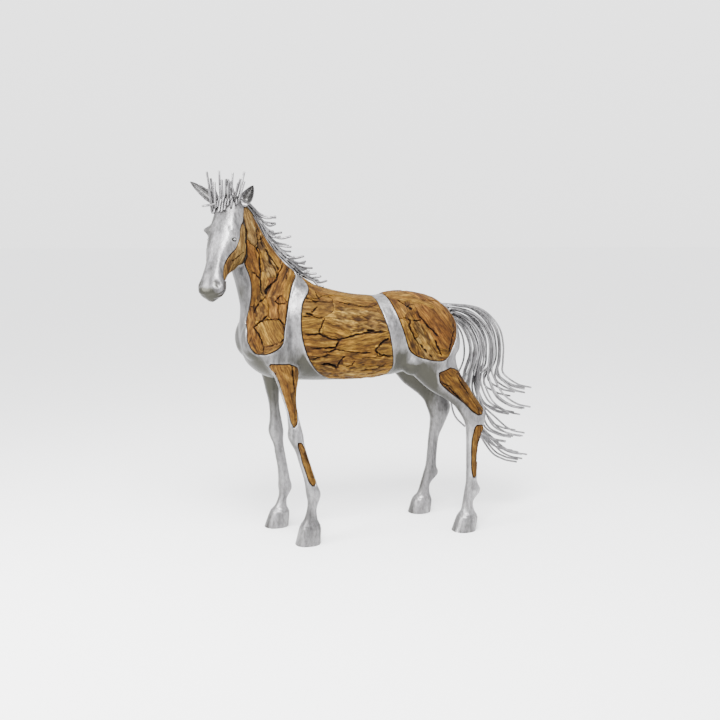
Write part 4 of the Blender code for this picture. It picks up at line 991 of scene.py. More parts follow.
# Open cracks: half width in millimetres, then the line in the picture's own pixels.
CRACKS = {
    "barrel": [
        (2.6, (305.1, 334), (314.6, 335.1), (318.8, 333.7), (323.7, 336.5), (332.1, 339.6), (339.1, 340.4), (345.4, 337.9), (353.2, 335.8), (363.7, 333.3), (377.7, 331.9), (385.4, 331.2)),
        (2.4, (340.5, 340.4), (337.7, 343.9), (335.6, 347.7), (329.3, 347.7), (319.5, 348.1), (310.4, 348.1)),
        (1.8, (318.8, 333.7), (319.5, 330.5), (321.6, 326.3), (324.4, 319.3)),
        (1.6, (303.3, 316.5), (313.2, 316.1), (320.2, 317.9), (324.4, 318.6)),
        (5.5, (306.5, 314.6), (310.0, 313.6), (313.0, 314.4)),
        (1.5, (311.0, 312.6), (317.4, 307.4)),
        (2.0, (315.3, 291.9), (316.7, 296.1), (320.2, 300.7)),
        (1.6, (305.1, 297.2), (308.9, 298.9), (313.2, 301.1), (320.2, 301.1)),
        (1.8, (339.1, 302.8), (349.6, 304.2), (360.2, 306.3), (370.0, 307.0), (377.0, 304.5)),
        (2.6, (391.0, 338.9), (384.7, 340.4), (380.5, 343.9), (376.3, 348.1), (375.6, 350.9), (380.5, 354.4), (388.2, 355.8), (392.5, 355.1)),
        (1.6, (323.7, 352.3), (335.6, 349.5), (347.5, 350.9), (360.2, 353.0), (370.7, 352.3)),
        (1.6, (313.2, 360.7), (318.1, 357.2), (329.3, 354.4)),
        (1.8, (344.0, 356.5), (340.5, 360.7), (337.0, 367.0)),
        (4.5, (321.6, 364.9), (327.9, 364.2), (334.9, 366.0), (337.0, 368.0)),
        (1.6, (346.0, 366.5), (351.8, 364.9), (353.9, 361.4)),
        (1.8, (360.2, 369.8), (370.7, 369.1), (381.2, 366.3), (386.1, 362.8)),
        (1.2, (381.2, 310.2), (386.8, 322.1), (388.9, 330.5)),
        (3.0, (366.5, 330.0), (374.2, 330.5)),
    ],
    "neck": [
        (1.6, (260.1, 270.0), (259.8, 276.9), (260.1, 284.4), (261.5, 293.0), (264.7, 297.6), (261.2, 301.0), (256.6, 306.7), (254.4, 312.5)),
        (4.2, (269.9, 285.4), (267.0, 289.9), (264.9, 295.0)),
        (1.5, (276.7, 272.9), (277.3, 278.6), (269.9, 286.0)),
        (1.8, (282.4, 264.3), (279.5, 272.0), (274.5, 280.5), (269.5, 287.3)),
        (1.8, (281.9, 295.3), (277.3, 298.7), (275.0, 302.1), (279.0, 304.4), (283.6, 304.4), (285.9, 302.1)),
        (3.4, (268.1, 314.8), (264.1, 318.8), (259.5, 322.8), (253.8, 327.4)),
        (1.8, (253.8, 328.0), (258.4, 334.3), (261.2, 340.0), (263.5, 346.9), (263.5, 353.2)),
        (1.0, (263.0, 321.7), (268.7, 319.4), (274.4, 318.8), (279.0, 319.4), (282.5, 322.8), (284.2, 329.7)),
        (1.6, (264.7, 346.9), (273.3, 345.8), (280.2, 343.5), (284.2, 338.9)),
        (3.0, (256.6, 225.1), (259.4, 232.7), (261.3, 243.3)),
        (2.4, (261.3, 243.3), (266.1, 250.9), (271.9, 259.5), (278.6, 270.0)),
        (1.6, (255.6, 227.0), (257.5, 239.4), (256.6, 248.0), (259.4, 255.7), (259.4, 265.3), (260.4, 277.7)),
        (1.3, (262.3, 246.1), (268.0, 255.7), (271.9, 265.3), (276.7, 272.9)),
        (1.4, (252.7, 272.9), (258.5, 277.7), (261.3, 281.5)),
        (2.2, (245.8, 236.6), (250.8, 240.4)),
        (1.2, (287.2, 268.1), (286.2, 279.6)),
    ],
    "haunch": [
        (2.0, (397.5, 300.0), (401.7, 302.9), (407.5, 306.7), (409.2, 305.0), (413.3, 305.4)),
        (5.5, (409.4, 307.4), (411.6, 309.4)),
        (2.6, (414.2, 305.8), (417.5, 312.5), (420.8, 318.3), (425.0, 321.7), (430.0, 328.3), (435.0, 333.3), (439.0, 337.0)),
        (4.2, (435.0, 340.0), (437.1, 345.0)),
        (1.8, (437.1, 345.0), (440.0, 351.7), (441.7, 355.8)),
        (2.4, (402.5, 316.7), (407.5, 319.2), (410.0, 320.8), (409.2, 325.0), (411.7, 331.7), (415.0, 339.2), (420.8, 345.8), (428.3, 353.3), (434.2, 359.0)),
        (1.6, (410.0, 320.8), (414.2, 320.8), (420.8, 320.8)),
        (2.2, (450.0, 315.0), (453.3, 320.8), (453.8, 330.0), (451.7, 339.2), (450.8, 346.7), (447.5, 354.2)),
        (1.5, (421.7, 300.8), (430.0, 300.0), (438.3, 302.5), (445.0, 308.3), (449.2, 314.2)),
    ],
    "jaw": [(1.0, (231.0, 262.0), (237.0, 256.5), (243.0, 252.0))],
    "forearm": [(2.0, (291.8, 368.3), (292.5, 376.7), (294.6, 391.9)), (1.2, (275.1, 372.5), (277.2, 378.0), (281.0, 388.0))],
    "fore_cannon": [(1.2, (297.0, 452.0), (302.0, 466.0), (306.0, 478.0))],
    "gaskin": [(2.8, (458.0, 377.7), (462.6, 385.9), (468.4, 394.0)), (1.8, (441.7, 381.2), (451.0, 389.3), (460.3, 400.9), (474.0, 413.0))],
    "hind_cannon": [(1.3, (478.5, 436.0), (477.2, 448.0), (476.5, 462.0))],
}


def picture_lines(chunks):
    out = []
    for u0, v0, u1, v1, width, tone, grey, rough in chunks:
        a, b = seen(u0, v0), seen(u1, v1)
        out.append((a, b, width * PIXEL, tone, grey, rough))
    return out


def mirrored_lines(lines, seed):
    """The hidden side: the same kind of mosaic, mirrored and shuffled."""
    out = []
    for k, (a, b, width, tone, grey, rough) in enumerate(lines):
        shift = np.array([math.sin(seed + 2.3 * k), 0.0, math.cos(seed * 1.7 + 3.1 * k)]) * 0.018
        a2, b2 = a * [1, -1, 1] + shift, b * [1, -1, 1] + shift
        out.append((a2, b2, width * (1 + 0.2 * math.sin(seed + k)), lines[(k + 3) % len(lines)][3], lines[(k + 3) % len(lines)][4], rough))
    return out


def limb_lines(leg, upper, lower, rows_wanted, side):
    rows = smooth_rows(leg, 10)
    out = []
    for t0, s0, t1, s1, width, tone, grey, rough in rows_wanted:
        ends = []
        for t, s in ((t0, s0), (t1, s1)):
            fx, fz, bx, bz, y, half, _ = rows[int(round((upper + (lower - upper) * t) * 10))]
            bulge = half * math.sqrt(max(0.0, 1 - (2 * min(max(s, 0), 1) - 1) ** 2))
            ends.append(np.array([fx + (bx - fx) * s, y + side * bulge, fz + (bz - fz) * s]))
        out.append((ends[0], ends[1], width, tone, grey, rough))
    return out


def lines_of(name):
    base = name.replace("_left", "").replace("_right", "").replace("_driftwood", "")
    side = 1 if name.endswith("_right") else -1
    if base in LIMB_PANELS:
        left_leg, right_leg, upper, lower, _ = LIMB_PANELS[base]
        return limb_lines(left_leg if side < 0 else right_leg, upper, lower, LIMB_CHUNKS[base], side)
    if base == "barrel":
        near = picture_lines(BARREL_CHUNKS)
        return near + mirrored_lines(near, 1.0)
    if base == "jaw":
        near = picture_lines(JAW_CHUNKS)
        if side < 0:
            return near
        out = []
        for a, b, width, tone, grey, rough in near:
            ends = [placed(in_head(e) * [1, -1, 1], HEAD_FRAME) for e in (a, b)]
            out.append((ends[0], ends[1], width, tone, grey, rough))
        return out
    near = picture_lines(NECK_CHUNKS if base == "neck" else HAUNCH_CHUNKS)
    return near if side < 0 else mirrored_lines(near, 4.0 if base == "neck" else 7.0)


def crack_lines(name):
    """Each crack as (half width, points) on the form; the hidden side's are the near side's, mirrored and moved along a little."""
    base = name.replace("_left", "").replace("_right", "").replace("_driftwood", "")
    near = [(half / 1000, np.array([seen(u, v) for u, v in points])) for half, *points in CRACKS[base]]
    mirrored = []
    for k, (half, points) in enumerate(near):
        if base == "jaw":
            other = placed(in_head(points) * [1, -1, 1], HEAD_FRAME)
        elif base in LIMB_PANELS:
            middle = np.mean([row[4] for row in LIMB_PANELS[base][1]])
            centre = np.mean([row[4] for row in LIMB_PANELS[base][0]])
            other = points * [1, -1, 1] + [-0.03, middle + centre, 0.0]
        else:
            other = points * [1, -1, 1] + np.array([math.sin(2.1 * k + 1), 0, math.cos(3.3 * k)]) * 0.020
        mirrored.append((half, other))
    if base == "barrel":
        return near + mirrored
    return mirrored if name.endswith("_right") else near


def crack_field(points, name):
    """Signed distance to the edge of the nearest crack, ragged, and closing towards each crack's ends."""
    ragged = points.copy()
    for k in range(3):
        ragged[:, k] += 0.010 * (value_noise(points * 30.0, 61 + k) - 0.5) + 0.007 * (value_noise(points * 85.0, 71 + k) - 0.5)
    best = np.full(len(points), 1.0)
    for half, line in crack_lines(name):
        near = np.all((points > line.min(axis=0) - 0.06) & (points < line.max(axis=0) + 0.06), axis=1)
        if not near.any():
            continue
        d, at = line_distance(ragged[near], line)
        width = half * (0.30 + 0.90 * smoothstep(at, 0.0, 0.12) * smoothstep(1 - at, 0.0, 0.12)) * (0.55 + 0.9 * value_noise(points[near] * 22.0, 81))
        best[near] = np.minimum(best[near], d - width)
    return best


def warp(points):
    out = points.copy()
    for k in range(3):
        out[:, k] += 0.018 * (value_noise(points * 14.0, 11 + k) - 0.5) + 0.009 * (value_noise(points * 40.0, 21 + k) - 0.5)
    return out


# Some panels are drawn darker than the rest; the jaw is drawn lighter.
LIGHT = {"jaw": 0.17}
SHADE = {"gaskin": 0.24, "hind_cannon": 0.24, "fore_cannon": 0.12, "forearm": 0.07}


def mosaic(name, patch, panel_s):
    lines = lines_of(name)
    patch = patch.finer()
    p = patch["p"]
    w = warp(p)
    ways = np.empty((len(lines), len(p)))
    widths = np.array([line[2] for line in lines])
    for k, (a, b, width, _, _, _) in enumerate(lines):
        ab = b - a
        t = np.clip((w - a) @ ab / max(ab @ ab, 1e-9), 0, 1)
        ways[k] = np.linalg.norm(w - (a + t[:, None] * ab), axis=1) / width
    gap = 0.0001 + 0.0012 * smoothstep(value_noise(p * 11.0, 31), 0.60, 0.90)
    crack = crack_field(p, name)
    s_panel = patch[panel_s] + PANEL_FIT
    out_p, out_t, out_g, out_tone, out_grey, out_painted_gap_shade, out_painted_relief_shading, base = [], [], [], [], [], [], [], 0
    for k, (a, b, width, tone, grey, rough) in enumerate(lines):
        if len(lines) > 1:
            others = np.delete(ways, k, axis=0)
            other = others.argmin(axis=0)
            other_width = np.delete(widths, k)[other]
            s = (ways[k] - others.min(axis=0)) / (1 / width + 1 / other_width) + gap
        else:
            s = np.full(len(p), -1.0)
        joint = s
        s = np.maximum(s, s_panel)
        if s.min() > -0.003:
            continue
        chunk = Skin(patch.tri, p=p, n=patch["n"], s=s, border=-s_panel, joint=-joint, crack=crack)
        chunk = chunk.part((s < 0.001)[patch.tri].any(axis=1))
        for level in (0.0, -0.0010, -0.0024, -0.0050):
            chunk.cut("s", level)
        for level in (0.0005, 0.0025, 0.0060):
            chunk.cut("crack", level)
        chunk = chunk.part(chunk["s"][chunk.tri].mean(axis=1) < 0)
        if not len(chunk.tri):
            continue
        q, n, d = chunk["p"], chunk["n"], -chunk["s"]
        n = n / np.maximum(np.linalg.norm(n, axis=1)[:, None], 1e-9)
        axis = (b - a) / max(np.linalg.norm(b - a), 1e-9)
        mean_n = n.mean(axis=0)
        side_way = np.cross(mean_n / max(np.linalg.norm(mean_n), 1e-9), axis)
        side_way /= max(np.linalg.norm(side_way), 1e-9)
        axis = np.cross(side_way, mean_n)
        axis /= max(np.linalg.norm(axis), 1e-9)
        along = (q - a) @ axis
        # On a strongly curved panel the across coordinate follows the surface round.
        across = (q - a) @ side_way + 0.35 * (q - a) @ mean_n
        flow = across + 0.016 * (value_noise(np.stack([along * 7, across * 6, np.full(len(q), k * 1.37)], 1), 41) - 0.5) + 0.006 * (value_noise(np.stack([along * 22, across * 12, np.full(len(q), k * 2.1)], 1), 42) - 0.5)
        tag = np.full(len(q), k * 3.7 + 0.5)
        swell = value_noise(np.stack([along * 5, flow * 16, tag], 1), 43) - 0.5
        ribs = value_noise(np.stack([along * 9, flow * 55, tag], 1), 44) - 0.5
        fibres = value_noise(np.stack([along * 16, flow * 140, tag], 1), 45) - 0.5
        crag = 0.65 * (value_noise(np.stack([along * 27 + flow * 12, flow * 52, tag], 1), 48) - 0.5) + 0.5 * (value_noise(np.stack([along * 60 - flow * 20, flow * 95, tag], 1), 49) - 0.5)
        split = 1 - np.abs(2 * value_noise(np.stack([along * 3.5, flow * 24, tag], 1), 46) - 1)
        split = smoothstep(split, 0.93, 1.0) * (value_noise(np.stack([along * 9, flow * 9, tag], 1), 47) > 0.48)
        # A joint is tight in some places and open in others; the panel's own edge is always rounded down.
        border, joint_d, opened = chunk["border"], chunk["joint"], smoothstep(value_noise(q * 7.0, 33), 0.42, 0.72)
        edge = np.interp(border, [0.0, 0.0010, 0.0024, 0.0050, 0.0120, 0.030], [-0.0150, -0.0048, -0.0012, 0.0008, 0.0022, 0.0034])
        edge += (0.15 + 0.70 * opened) * np.interp(joint_d, [0.0, 0.0010, 0.0024, 0.0050], [-0.0110, -0.0038, -0.0012, 0.0])
        edge += np.interp(chunk["crack"], [-0.004, 0.0005, 0.0025, 0.0060, 0.0120], [-0.0170, -0.0085, -0.0022, 0.0002, 0.0])
        face = smoothstep(d, 0.001, 0.008)
        lift = 0.0022 * math.sin(5.1 * k + 1.3)
        jagged = max(rough - 0.30, 0.0)
        light = LIGHT.get(name.split("_driftwood")[0], 0.0)
        height = edge + face * (lift + 0.0050 * swell + 0.0038 * (0.4 + 0.6 * rough) * ribs + 0.0018 * (0.4 + 0.6 * rough) * fibres - 0.0035 * rough * split + 0.0090 * jagged * crag)
        out_p.append(q + n * height[:, None])
        out_t.append(chunk.tri + base)
        out_g.append(np.stack([along + 0.7 * k, flow, tag * 0.31], 1))
        out_tone.append(np.full(len(q), tone) + 0.35 * (value_noise(q * 14, 51) - 0.5))
        out_grey.append(np.clip(np.full(len(q), grey + 2.0 * light) + 0.35 * rough * (value_noise(q * 18, 52) - 0.55), 0, 1))
        # Painted shade and highlight by the height of the relief.
        out_painted_relief_shading.append(np.clip(0.5 + light + 0.80 * (0.45 + 0.55 * rough) * ribs + 1.55 * jagged * crag + 0.50 * fibres + 0.20 * swell, 0, 1))
        # Painted shade in the gaps, joints, cracks and splits, plus a darkening of some whole panels.
        deep = np.interp(border, [0.0, 0.0010, 0.0024, 0.0050], [1.0, 0.65, 0.18, 0.0])
        deep += SHADE.get(name.split("_driftwood")[0], 0.0) + (0.12 + 0.55 * opened) * np.interp(joint_d, [0.0, 0.0010, 0.0024], [1.0, 0.50, 0.0])
        deep += np.interp(chunk["crack"], [0.0, 0.0015, 0.0045], [1.0, 0.60, 0.0])
        out_painted_gap_shade.append(np.clip(deep + 0.55 * split * face, 0, 1))
        base += len(q)
    piece = shown(name + "_mosaic", np.concatenate(out_p), np.concatenate(out_t), WOOD, grain=np.concatenate(out_g), tone=np.clip(np.concatenate(out_tone), 0, 1), grey=np.concatenate(out_grey), deep=np.concatenate(out_painted_gap_shade), relief=np.concatenate(out_painted_relief_shading))
    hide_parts(name)
    return piece


for index, (name, *_) in enumerate(PANELS):
    mosaic(name, SKIN.part(OWNER == index), f"s{index}")


# ---------------------------------------------------------------- bent rods
def on_form(start, direction):
    """Where a ray meets the form, and the surface's normal there."""
    point, normal, _, _ = FORM_TREE.ray_cast(Vector(start), Vector(direction).normalized())
    if point is None:
        point, normal, _, _ = FORM_TREE.find_nearest(Vector(start))
    return np.array(point), np.array(normal)


def kept_off(points, least, first):
    """Lifts each point from `first` on until it stands `least` off the form."""
    out = np.array(points, float)
    for k in range(first, len(out)):
        near, normal, _, distance = FORM_TREE.find_nearest(Vector(out[k]))
        near, normal = np.array(near), np.array(normal)
        inside = (out[k] - near) @ normal < 0
        if inside or distance < least:
            out[k] = near + normal * least
    return out


def tube(path, radius=ROD, sides=10, round_end=True):
    """A bar along a path: square in the metal at its foot, with a rounded cut at its tip."""
    path = np.asarray(path, float)
    tangents = np.gradient(path, axis=0)
    tangents /= np.linalg.norm(tangents, axis=1)[:, None]
    side = np.cross(tangents[0], [0.3, 1.0, 0.2])
    side /= np.linalg.norm(side)
    points, t = [], 2 * math.pi * np.arange(sides) / sides
    rings = [(p, tan, radius) for p, tan in zip(path, tangents)]
    if round_end:
        tip, tan = path[-1], tangents[-1]
        rings[-1] = (tip - tan * radius * 0.5, tan, radius)
        rings += [(tip - tan * radius * 0.12, tan, radius * 0.86), (tip, tan, radius * 0.45)]
    for p, tan, r in rings:
        side = side - tan * (side @ tan)
        side /= np.linalg.norm(side)
        other = np.cross(tan, side)
        points.append(p + r * (np.outer(np.cos(t), side) + np.outer(np.sin(t), other)))
    faces = []
    n = len(rings)
    for r in range(n - 1):
        k = np.arange(sides)
        a, b = r * sides + k, r * sides + (k + 1) % sides
        faces += [np.stack([a, b, b + sides], 1), np.stack([a, b + sides, a + sides], 1)]
    points.append(np.array([rings[-1][0]]))
    k = np.arange(sides)
    faces.append(np.stack([(n - 1) * sides + k, (n - 1) * sides + (k + 1) % sides, np.full(sides, n * sides)], 1))
    points = np.concatenate(points)
    dirt = np.zeros(len(points))
    # The rounded tip is drawn darkest.
    dirt[-1 - sides :] = 1.0
    # painted shade, darker down among the other rods, where each is welded on
    dirt[: 4 * sides] = 0.15
    return points, np.concatenate(faces), dirt


def even(points, step=0.012, fine=12):
    dense = smooth_rows(points, fine)
    run = np.concatenate([[0], np.cumsum(np.linalg.norm(np.diff(dense, axis=0), axis=1))])
    at = np.linspace(0, run[-1], max(int(run[-1] / step), 3) + 1)
    return np.stack([np.interp(at, run, dense[:, k]) for k in range(3)], 1)


def wobble(seed, size):
    return size * math.sin(seed * 12.9898 + 4.1414 * (seed % 7))


TAIL_LANES, TAIL_LEVELS, LANE = 6, 4, 0.0215
TAIL_OUTER = [(0.985, 1.440), (1.059, 1.431), (1.134, 1.402), (1.210, 1.340), (1.262, 1.263), (1.287, 1.161), (1.286, 1.058)]
TAIL_INNER = [(0.950, 1.350), (1.003, 1.314), (1.052, 1.251), (1.086, 1.169), (1.090, 1.100), (1.066, 1.030), (1.046, 0.960)]
TAIL_TIPS = [((1.500, 0.868), (1.440, 0.800)), ((1.480, 0.745), (1.400, 0.662)), ((1.300, 0.505), (1.530, 0.508)), ((1.420, 0.345), (1.515, 0.392))]
ROOT_Z = (1.432, 1.412, 1.391, 1.369)


def tail_rod(lane, level):
    share = lane / (TAIL_LANES - 1)
    y = (lane - (TAIL_LANES - 1) / 2) * LANE
    q = min(max((level + 0.25 * math.sin(1.7 * lane)) / (TAIL_LEVELS - 1), 0.0), 1.0)
    foot, normal = on_form((1.2, y * 0.86, ROOT_Z[int(level)]), (-1, 0, 0))
    path = [foot - normal * 0.012, foot + normal * 0.004, foot + normal * 0.022]
    for (ox, oz), (ix, iz) in zip(TAIL_OUTER, TAIL_INNER):
        path.append(np.array([ox + (ix - ox) * q, y, oz + (iz - oz) * q]))
    (ax, az), (bx, bz) = TAIL_TIPS[level]
    tx, tz = ax + (bx - ax) * share + wobble(lane + 6 * level, 0.022), az + (bz - az) * share + wobble(3 * lane + level, 0.012)
    last = path[-1]
    spread = y * 1.35
    if level:
        waist = (0.0, tx - 0.29, max(tx - 0.23, 1.075), min(tx - 0.33, 1.010))[level]
        path.append(np.array([min(last[0], waist + 0.02), y * 1.1, last[2] * 0.45 + (tz + 0.20) * 0.55]))
    path.append(np.array([tx - 0.215, y * 1.2, tz + 0.110]))
    path.append(np.array([tx - 0.110, spread, tz + 0.032]))
    path.append(np.array([tx, spread, tz]))
    return even(path)


CREST = smooth_rows([(-0.455, 2.093), (-0.415, 2.045), (-0.364, 1.968), (-0.335, 1.912), (-0.305, 1.862), (-0.262, 1.802), (-0.226, 1.760), (-0.170, 1.712), (-0.108, 1.644), (-0.040, 1.598), (0.03, 1.572)], 8)
CREST_RUN = np.concatenate([[0], np.cumsum(np.linalg.norm(np.diff(CREST, axis=0), axis=1))])
MANE_LANES = (-0.021, 0.0, 0.021)


def crest(run):
    x, z = (float(np.interp(run, CREST_RUN, CREST[:, k])) for k in (0, 1))
    x2, z2 = (float(np.interp(run + 0.01, CREST_RUN, CREST[:, k])) for k in (0, 1))
    along = np.array([x2 - x, 0, z2 - z])
    along /= np.linalg.norm(along)
    return np.array([x, 0, z]), along, np.array([-along[2], 0, along[0]])


def mane_rod(run, lane, reach, lifts=((0.060, 0.020), (0.105, 0.030)), dip=-0.026, kick=0.004):
    point, along, out = crest(run)
    foot, normal = on_form(point + out * 0.2 + [0, lane, 0], -out)
    path = [foot - normal * 0.010, foot + normal * 0.010, foot + normal * 0.018 + along * 0.010]
    for step, lift in lifts:
        point, along, out = crest(run + step)
        path.append(point + out * lift + [0, lane, 0])
    path.append(path[-1] + [reach * 0.55, lane * 0.4, dip])
    path.append(path[-1] + [reach * 0.62, lane * 0.5, kick])
    return kept_off(even(path), ROD + 0.002, 3)


def forelock_up(f, w, tip, lean=0.008):
    foot, normal = on_form(placed([(f, w, 2.30)], HEAD_FRAME)[0], (0, 0, -1))
    end = placed([tip], HEAD_FRAME)[0]
    return even([foot - normal * 0.010, foot + normal * 0.004, foot + normal * 0.016, foot + (end - foot) * 0.55 + normal * lean, end])


def forelock_down(w, low, top=2.088, out=0.024, sway=0.0):
    turn = HEAD_FRAME[:3, :3]
    while True:
        start = placed([(0.30, w, top)], HEAD_FRAME)[0]
        hit = FORM_TREE.ray_cast(Vector(start), Vector(turn @ [-1, 0, 0]))
        if hit[0] is not None and hit[3] < 0.34:
            break
        top -= 0.006
    foot, normal = np.array(hit[0]), np.array(hit[1])
    normal = normal + turn @ [0.35, 0, 0.5]
    normal /= np.linalg.norm(normal)
    down = turn @ [0.30, sway, -1.0]
    drop = top - low
    return kept_off(even([foot - normal * 0.010, foot + normal * 0.006, foot + normal * 0.018, foot + normal * (out + 0.002) + down * drop * 0.5, foot + normal * out + down * drop]), ROD + 0.001, 4)


def rod_piece(name, paths, node=None, radius=ROD):
    points, tris, dirt_and_painted_shade_lists, base = [], [], [], 0
    for path in paths:
        p, t, dirt = tube(path, radius)
        points.append(p)
        tris.append(t + base)
        dirt_and_painted_shade_lists.append(dirt)
        base += len(p)
    piece = shown(name, np.concatenate(points), np.concatenate(tris), METAL, dirt=np.concatenate(dirt_and_painted_shade_lists))
    if node:
        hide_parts(node)
    return piece


number = 0
for lane in range(TAIL_LANES):
    for level in range(TAIL_LEVELS):
        if (lane, level) in ((0, 0), (5, 3)):
            continue
        number += 1
        rod_piece(f"tail_bar_{number:02d}", [tail_rod(lane, level)], f"tail_rod_{number:02d}", 0.0068)
for i in range(12):
    path = mane_rod(0.010 + 0.0480 * i, MANE_LANES[i % 3], 0.085 + wobble(i, 0.018), dip=-0.026 + wobble(i + 3, 0.006), kick=0.004 + wobble(i + 5, 0.010))
    rod_piece(f"mane_bar_{i + 1:02d}", [path], f"mane_rod_{i + 1:02d}", 0.0068)
FORELOCK_UP = [((0.066, -0.066), (0.112, -0.092, 2.250)), ((0.048, -0.030), (0.080, -0.030, 2.256)), ((0.066, -0.008), (0.095, -0.004, 2.205)), ((0.030, 0.020), (0.030, 0.032, 2.248)), ((0.010, 0.048), (-0.006, 0.088, 2.254)), ((0.040, 0.062), (0.040, 0.112, 2.196))]
FORELOCK_DOWN = [(-0.052, 2.012), (-0.020, 2.020), (0.010, 2.030), (0.038, 2.046)]
number = 0
for (f, w), tip in FORELOCK_UP:
    number += 1
    rod_piece(f"forelock_bar_{number:02d}", [forelock_up(f, w, tip)], f"forelock_rod_{number:02d}", 0.0064)
for w, low in FORELOCK_DOWN:
    number += 1
    rod_piece(f"forelock_bar_{number:02d}", [forelock_down(w, low - 0.020)], f"forelock_rod_{number:02d}", 0.0078)

# The rest of the rods, welded in among those above.
more = []
for i in range(17):
    lane = (-0.030, 0.010, -0.010, 0.030)[i % 4]
    more.append(mane_rod(0.030 + 0.0335 * i, lane, 0.070 + wobble(i + 11, 0.022), lifts=((0.050, 0.015), (0.090, 0.020)), dip=-0.022 + wobble(i + 2, 0.010), kick=wobble(i + 8, 0.012)))
for lane, start, end, lift in ((-0.034, 0.004, 0.50, 0.006), (-0.019, 0.012, 0.58, 0.012), (0.020, 0.004, 0.55, 0.010), (-0.005, 0.030, 0.60, 0.014)):
    line = []
    for k in range(13):
        point, along, out = crest(start + (end - start) * k / 12)
        foot, normal = on_form(point + out * 0.2 + [0, lane * (1 + 0.15 * math.sin(1.9 * k + 40 * lane)), 0], -out)
        line.append(foot + normal * (lift + 0.003 * math.sin(2.3 * k + 70 * lane)))
    more.append(even(line))
rod_piece("mane_bars_more", more, radius=0.0066)
extra = [forelock_down(-0.066, 2.002, 2.080, sway=-0.2), forelock_down(-0.036, 2.034), forelock_down(-0.004, 1.998), forelock_down(0.024, 2.040), forelock_down(0.052, 2.046, sway=0.15)]
extra += [forelock_down(w, low, 2.100, out=0.036, sway=sway) for w, low, sway in ((-0.060, 2.048, -0.10), (-0.030, 2.056, 0.12), (0.000, 2.050, -0.08), (0.030, 2.062, 0.10), (0.062, 2.066, 0.05))]
extra += [forelock_up(0.075, -0.045, (0.100, -0.050, 2.192)), forelock_up(0.020, 0.005, (0.060, 0.004, 2.210)), forelock_up(0.000, 0.030, (-0.010, 0.060, 2.215))]
extra += [forelock_up(0.070, -0.072, (0.086, -0.095, 2.168)), forelock_up(0.062, 0.018, (0.074, 0.030, 2.196)), forelock_up(0.045, 0.046, (0.040, 0.072, 2.188)), forelock_up(0.058, -0.052, (0.100, -0.064, 2.176))]
extra.append(even([placed([q], HEAD_FRAME)[0] for q in ((0.070, -0.040, 2.070), (0.094, -0.062, 2.066), (0.096, -0.100, 2.060), (0.092, -0.140, 2.056))]))
extra += [forelock_up(f, w, (f + 0.03 + wobble(7 * k, 0.018), w * 1.35 + wobble(k, 0.020), 2.165 + abs(wobble(3 * k + 1, 0.050)))) for k, (f, w) in enumerate(((0.058, -0.060), (0.052, -0.040), (0.060, -0.020), (0.050, 0.000), (0.044, 0.022), (0.034, 0.040), (0.020, 0.058)))]
rod_piece("forelock_bars_more", extra, radius=0.0068)
# Two more tail rods, bent forward round the hock, and short ends that stop behind the thigh.
loops = [even(np.array(q)) for q in (
    [(0.885, -0.020, 1.372), (0.935, -0.020, 1.368), (1.035, -0.034, 1.235), (1.050, -0.050, 1.080), (0.985, -0.075, 0.930), (0.955, -0.090, 0.800), (0.990, -0.100, 0.700), (1.060, -0.105, 0.640)],
    [(0.885, 0.030, 1.360), (0.935, 0.030, 1.356), (1.020, 0.030, 1.235), (1.030, 0.020, 1.080), (0.965, 0.010, 0.940), (0.930, 0.000, 0.820), (0.955, -0.010, 0.700), (1.030, -0.015, 0.620)],
    [(0.885, -0.045, 1.390), (0.940, -0.047, 1.388), (1.070, -0.050, 1.290), (1.110, -0.052, 1.170), (1.085, -0.060, 1.050), (1.060, -0.070, 0.975)],
    [(0.885, 0.015, 1.398), (0.940, 0.015, 1.398), (1.100, 0.012, 1.310), (1.150, 0.010, 1.190), (1.135, 0.004, 1.080), (1.118, 0.0, 1.000)],
    [(0.885, 0.050, 1.380), (0.940, 0.052, 1.378), (1.085, 0.055, 1.280), (1.128, 0.058, 1.160), (1.100, 0.060, 1.020), (1.090, 0.062, 0.930)],
)]
loops += [tail_rod(0, 0), tail_rod(5, 3)]
for (lane, level), (dx, dz) in (((0.5, 0), (-0.05, -0.035)), ((2.5, 1), (0.03, -0.030)), ((4.5, 1), (-0.06, 0.025)), ((1.5, 2), (0.08, 0.030)), ((3.5, 2), (-0.02, 0.045)), ((0.5, 3), (0.04, 0.035)), ((2.5, 3), (-0.04, 0.050))):
    path = tail_rod(lane, level)
    at = smoothstep(np.linspace(0, 1, len(path)), 0.45, 1.0)[:, None]
    loops.append(path + at * [dx, 0, dz])
rod_piece("tail_bars_more", loops, radius=0.0064)


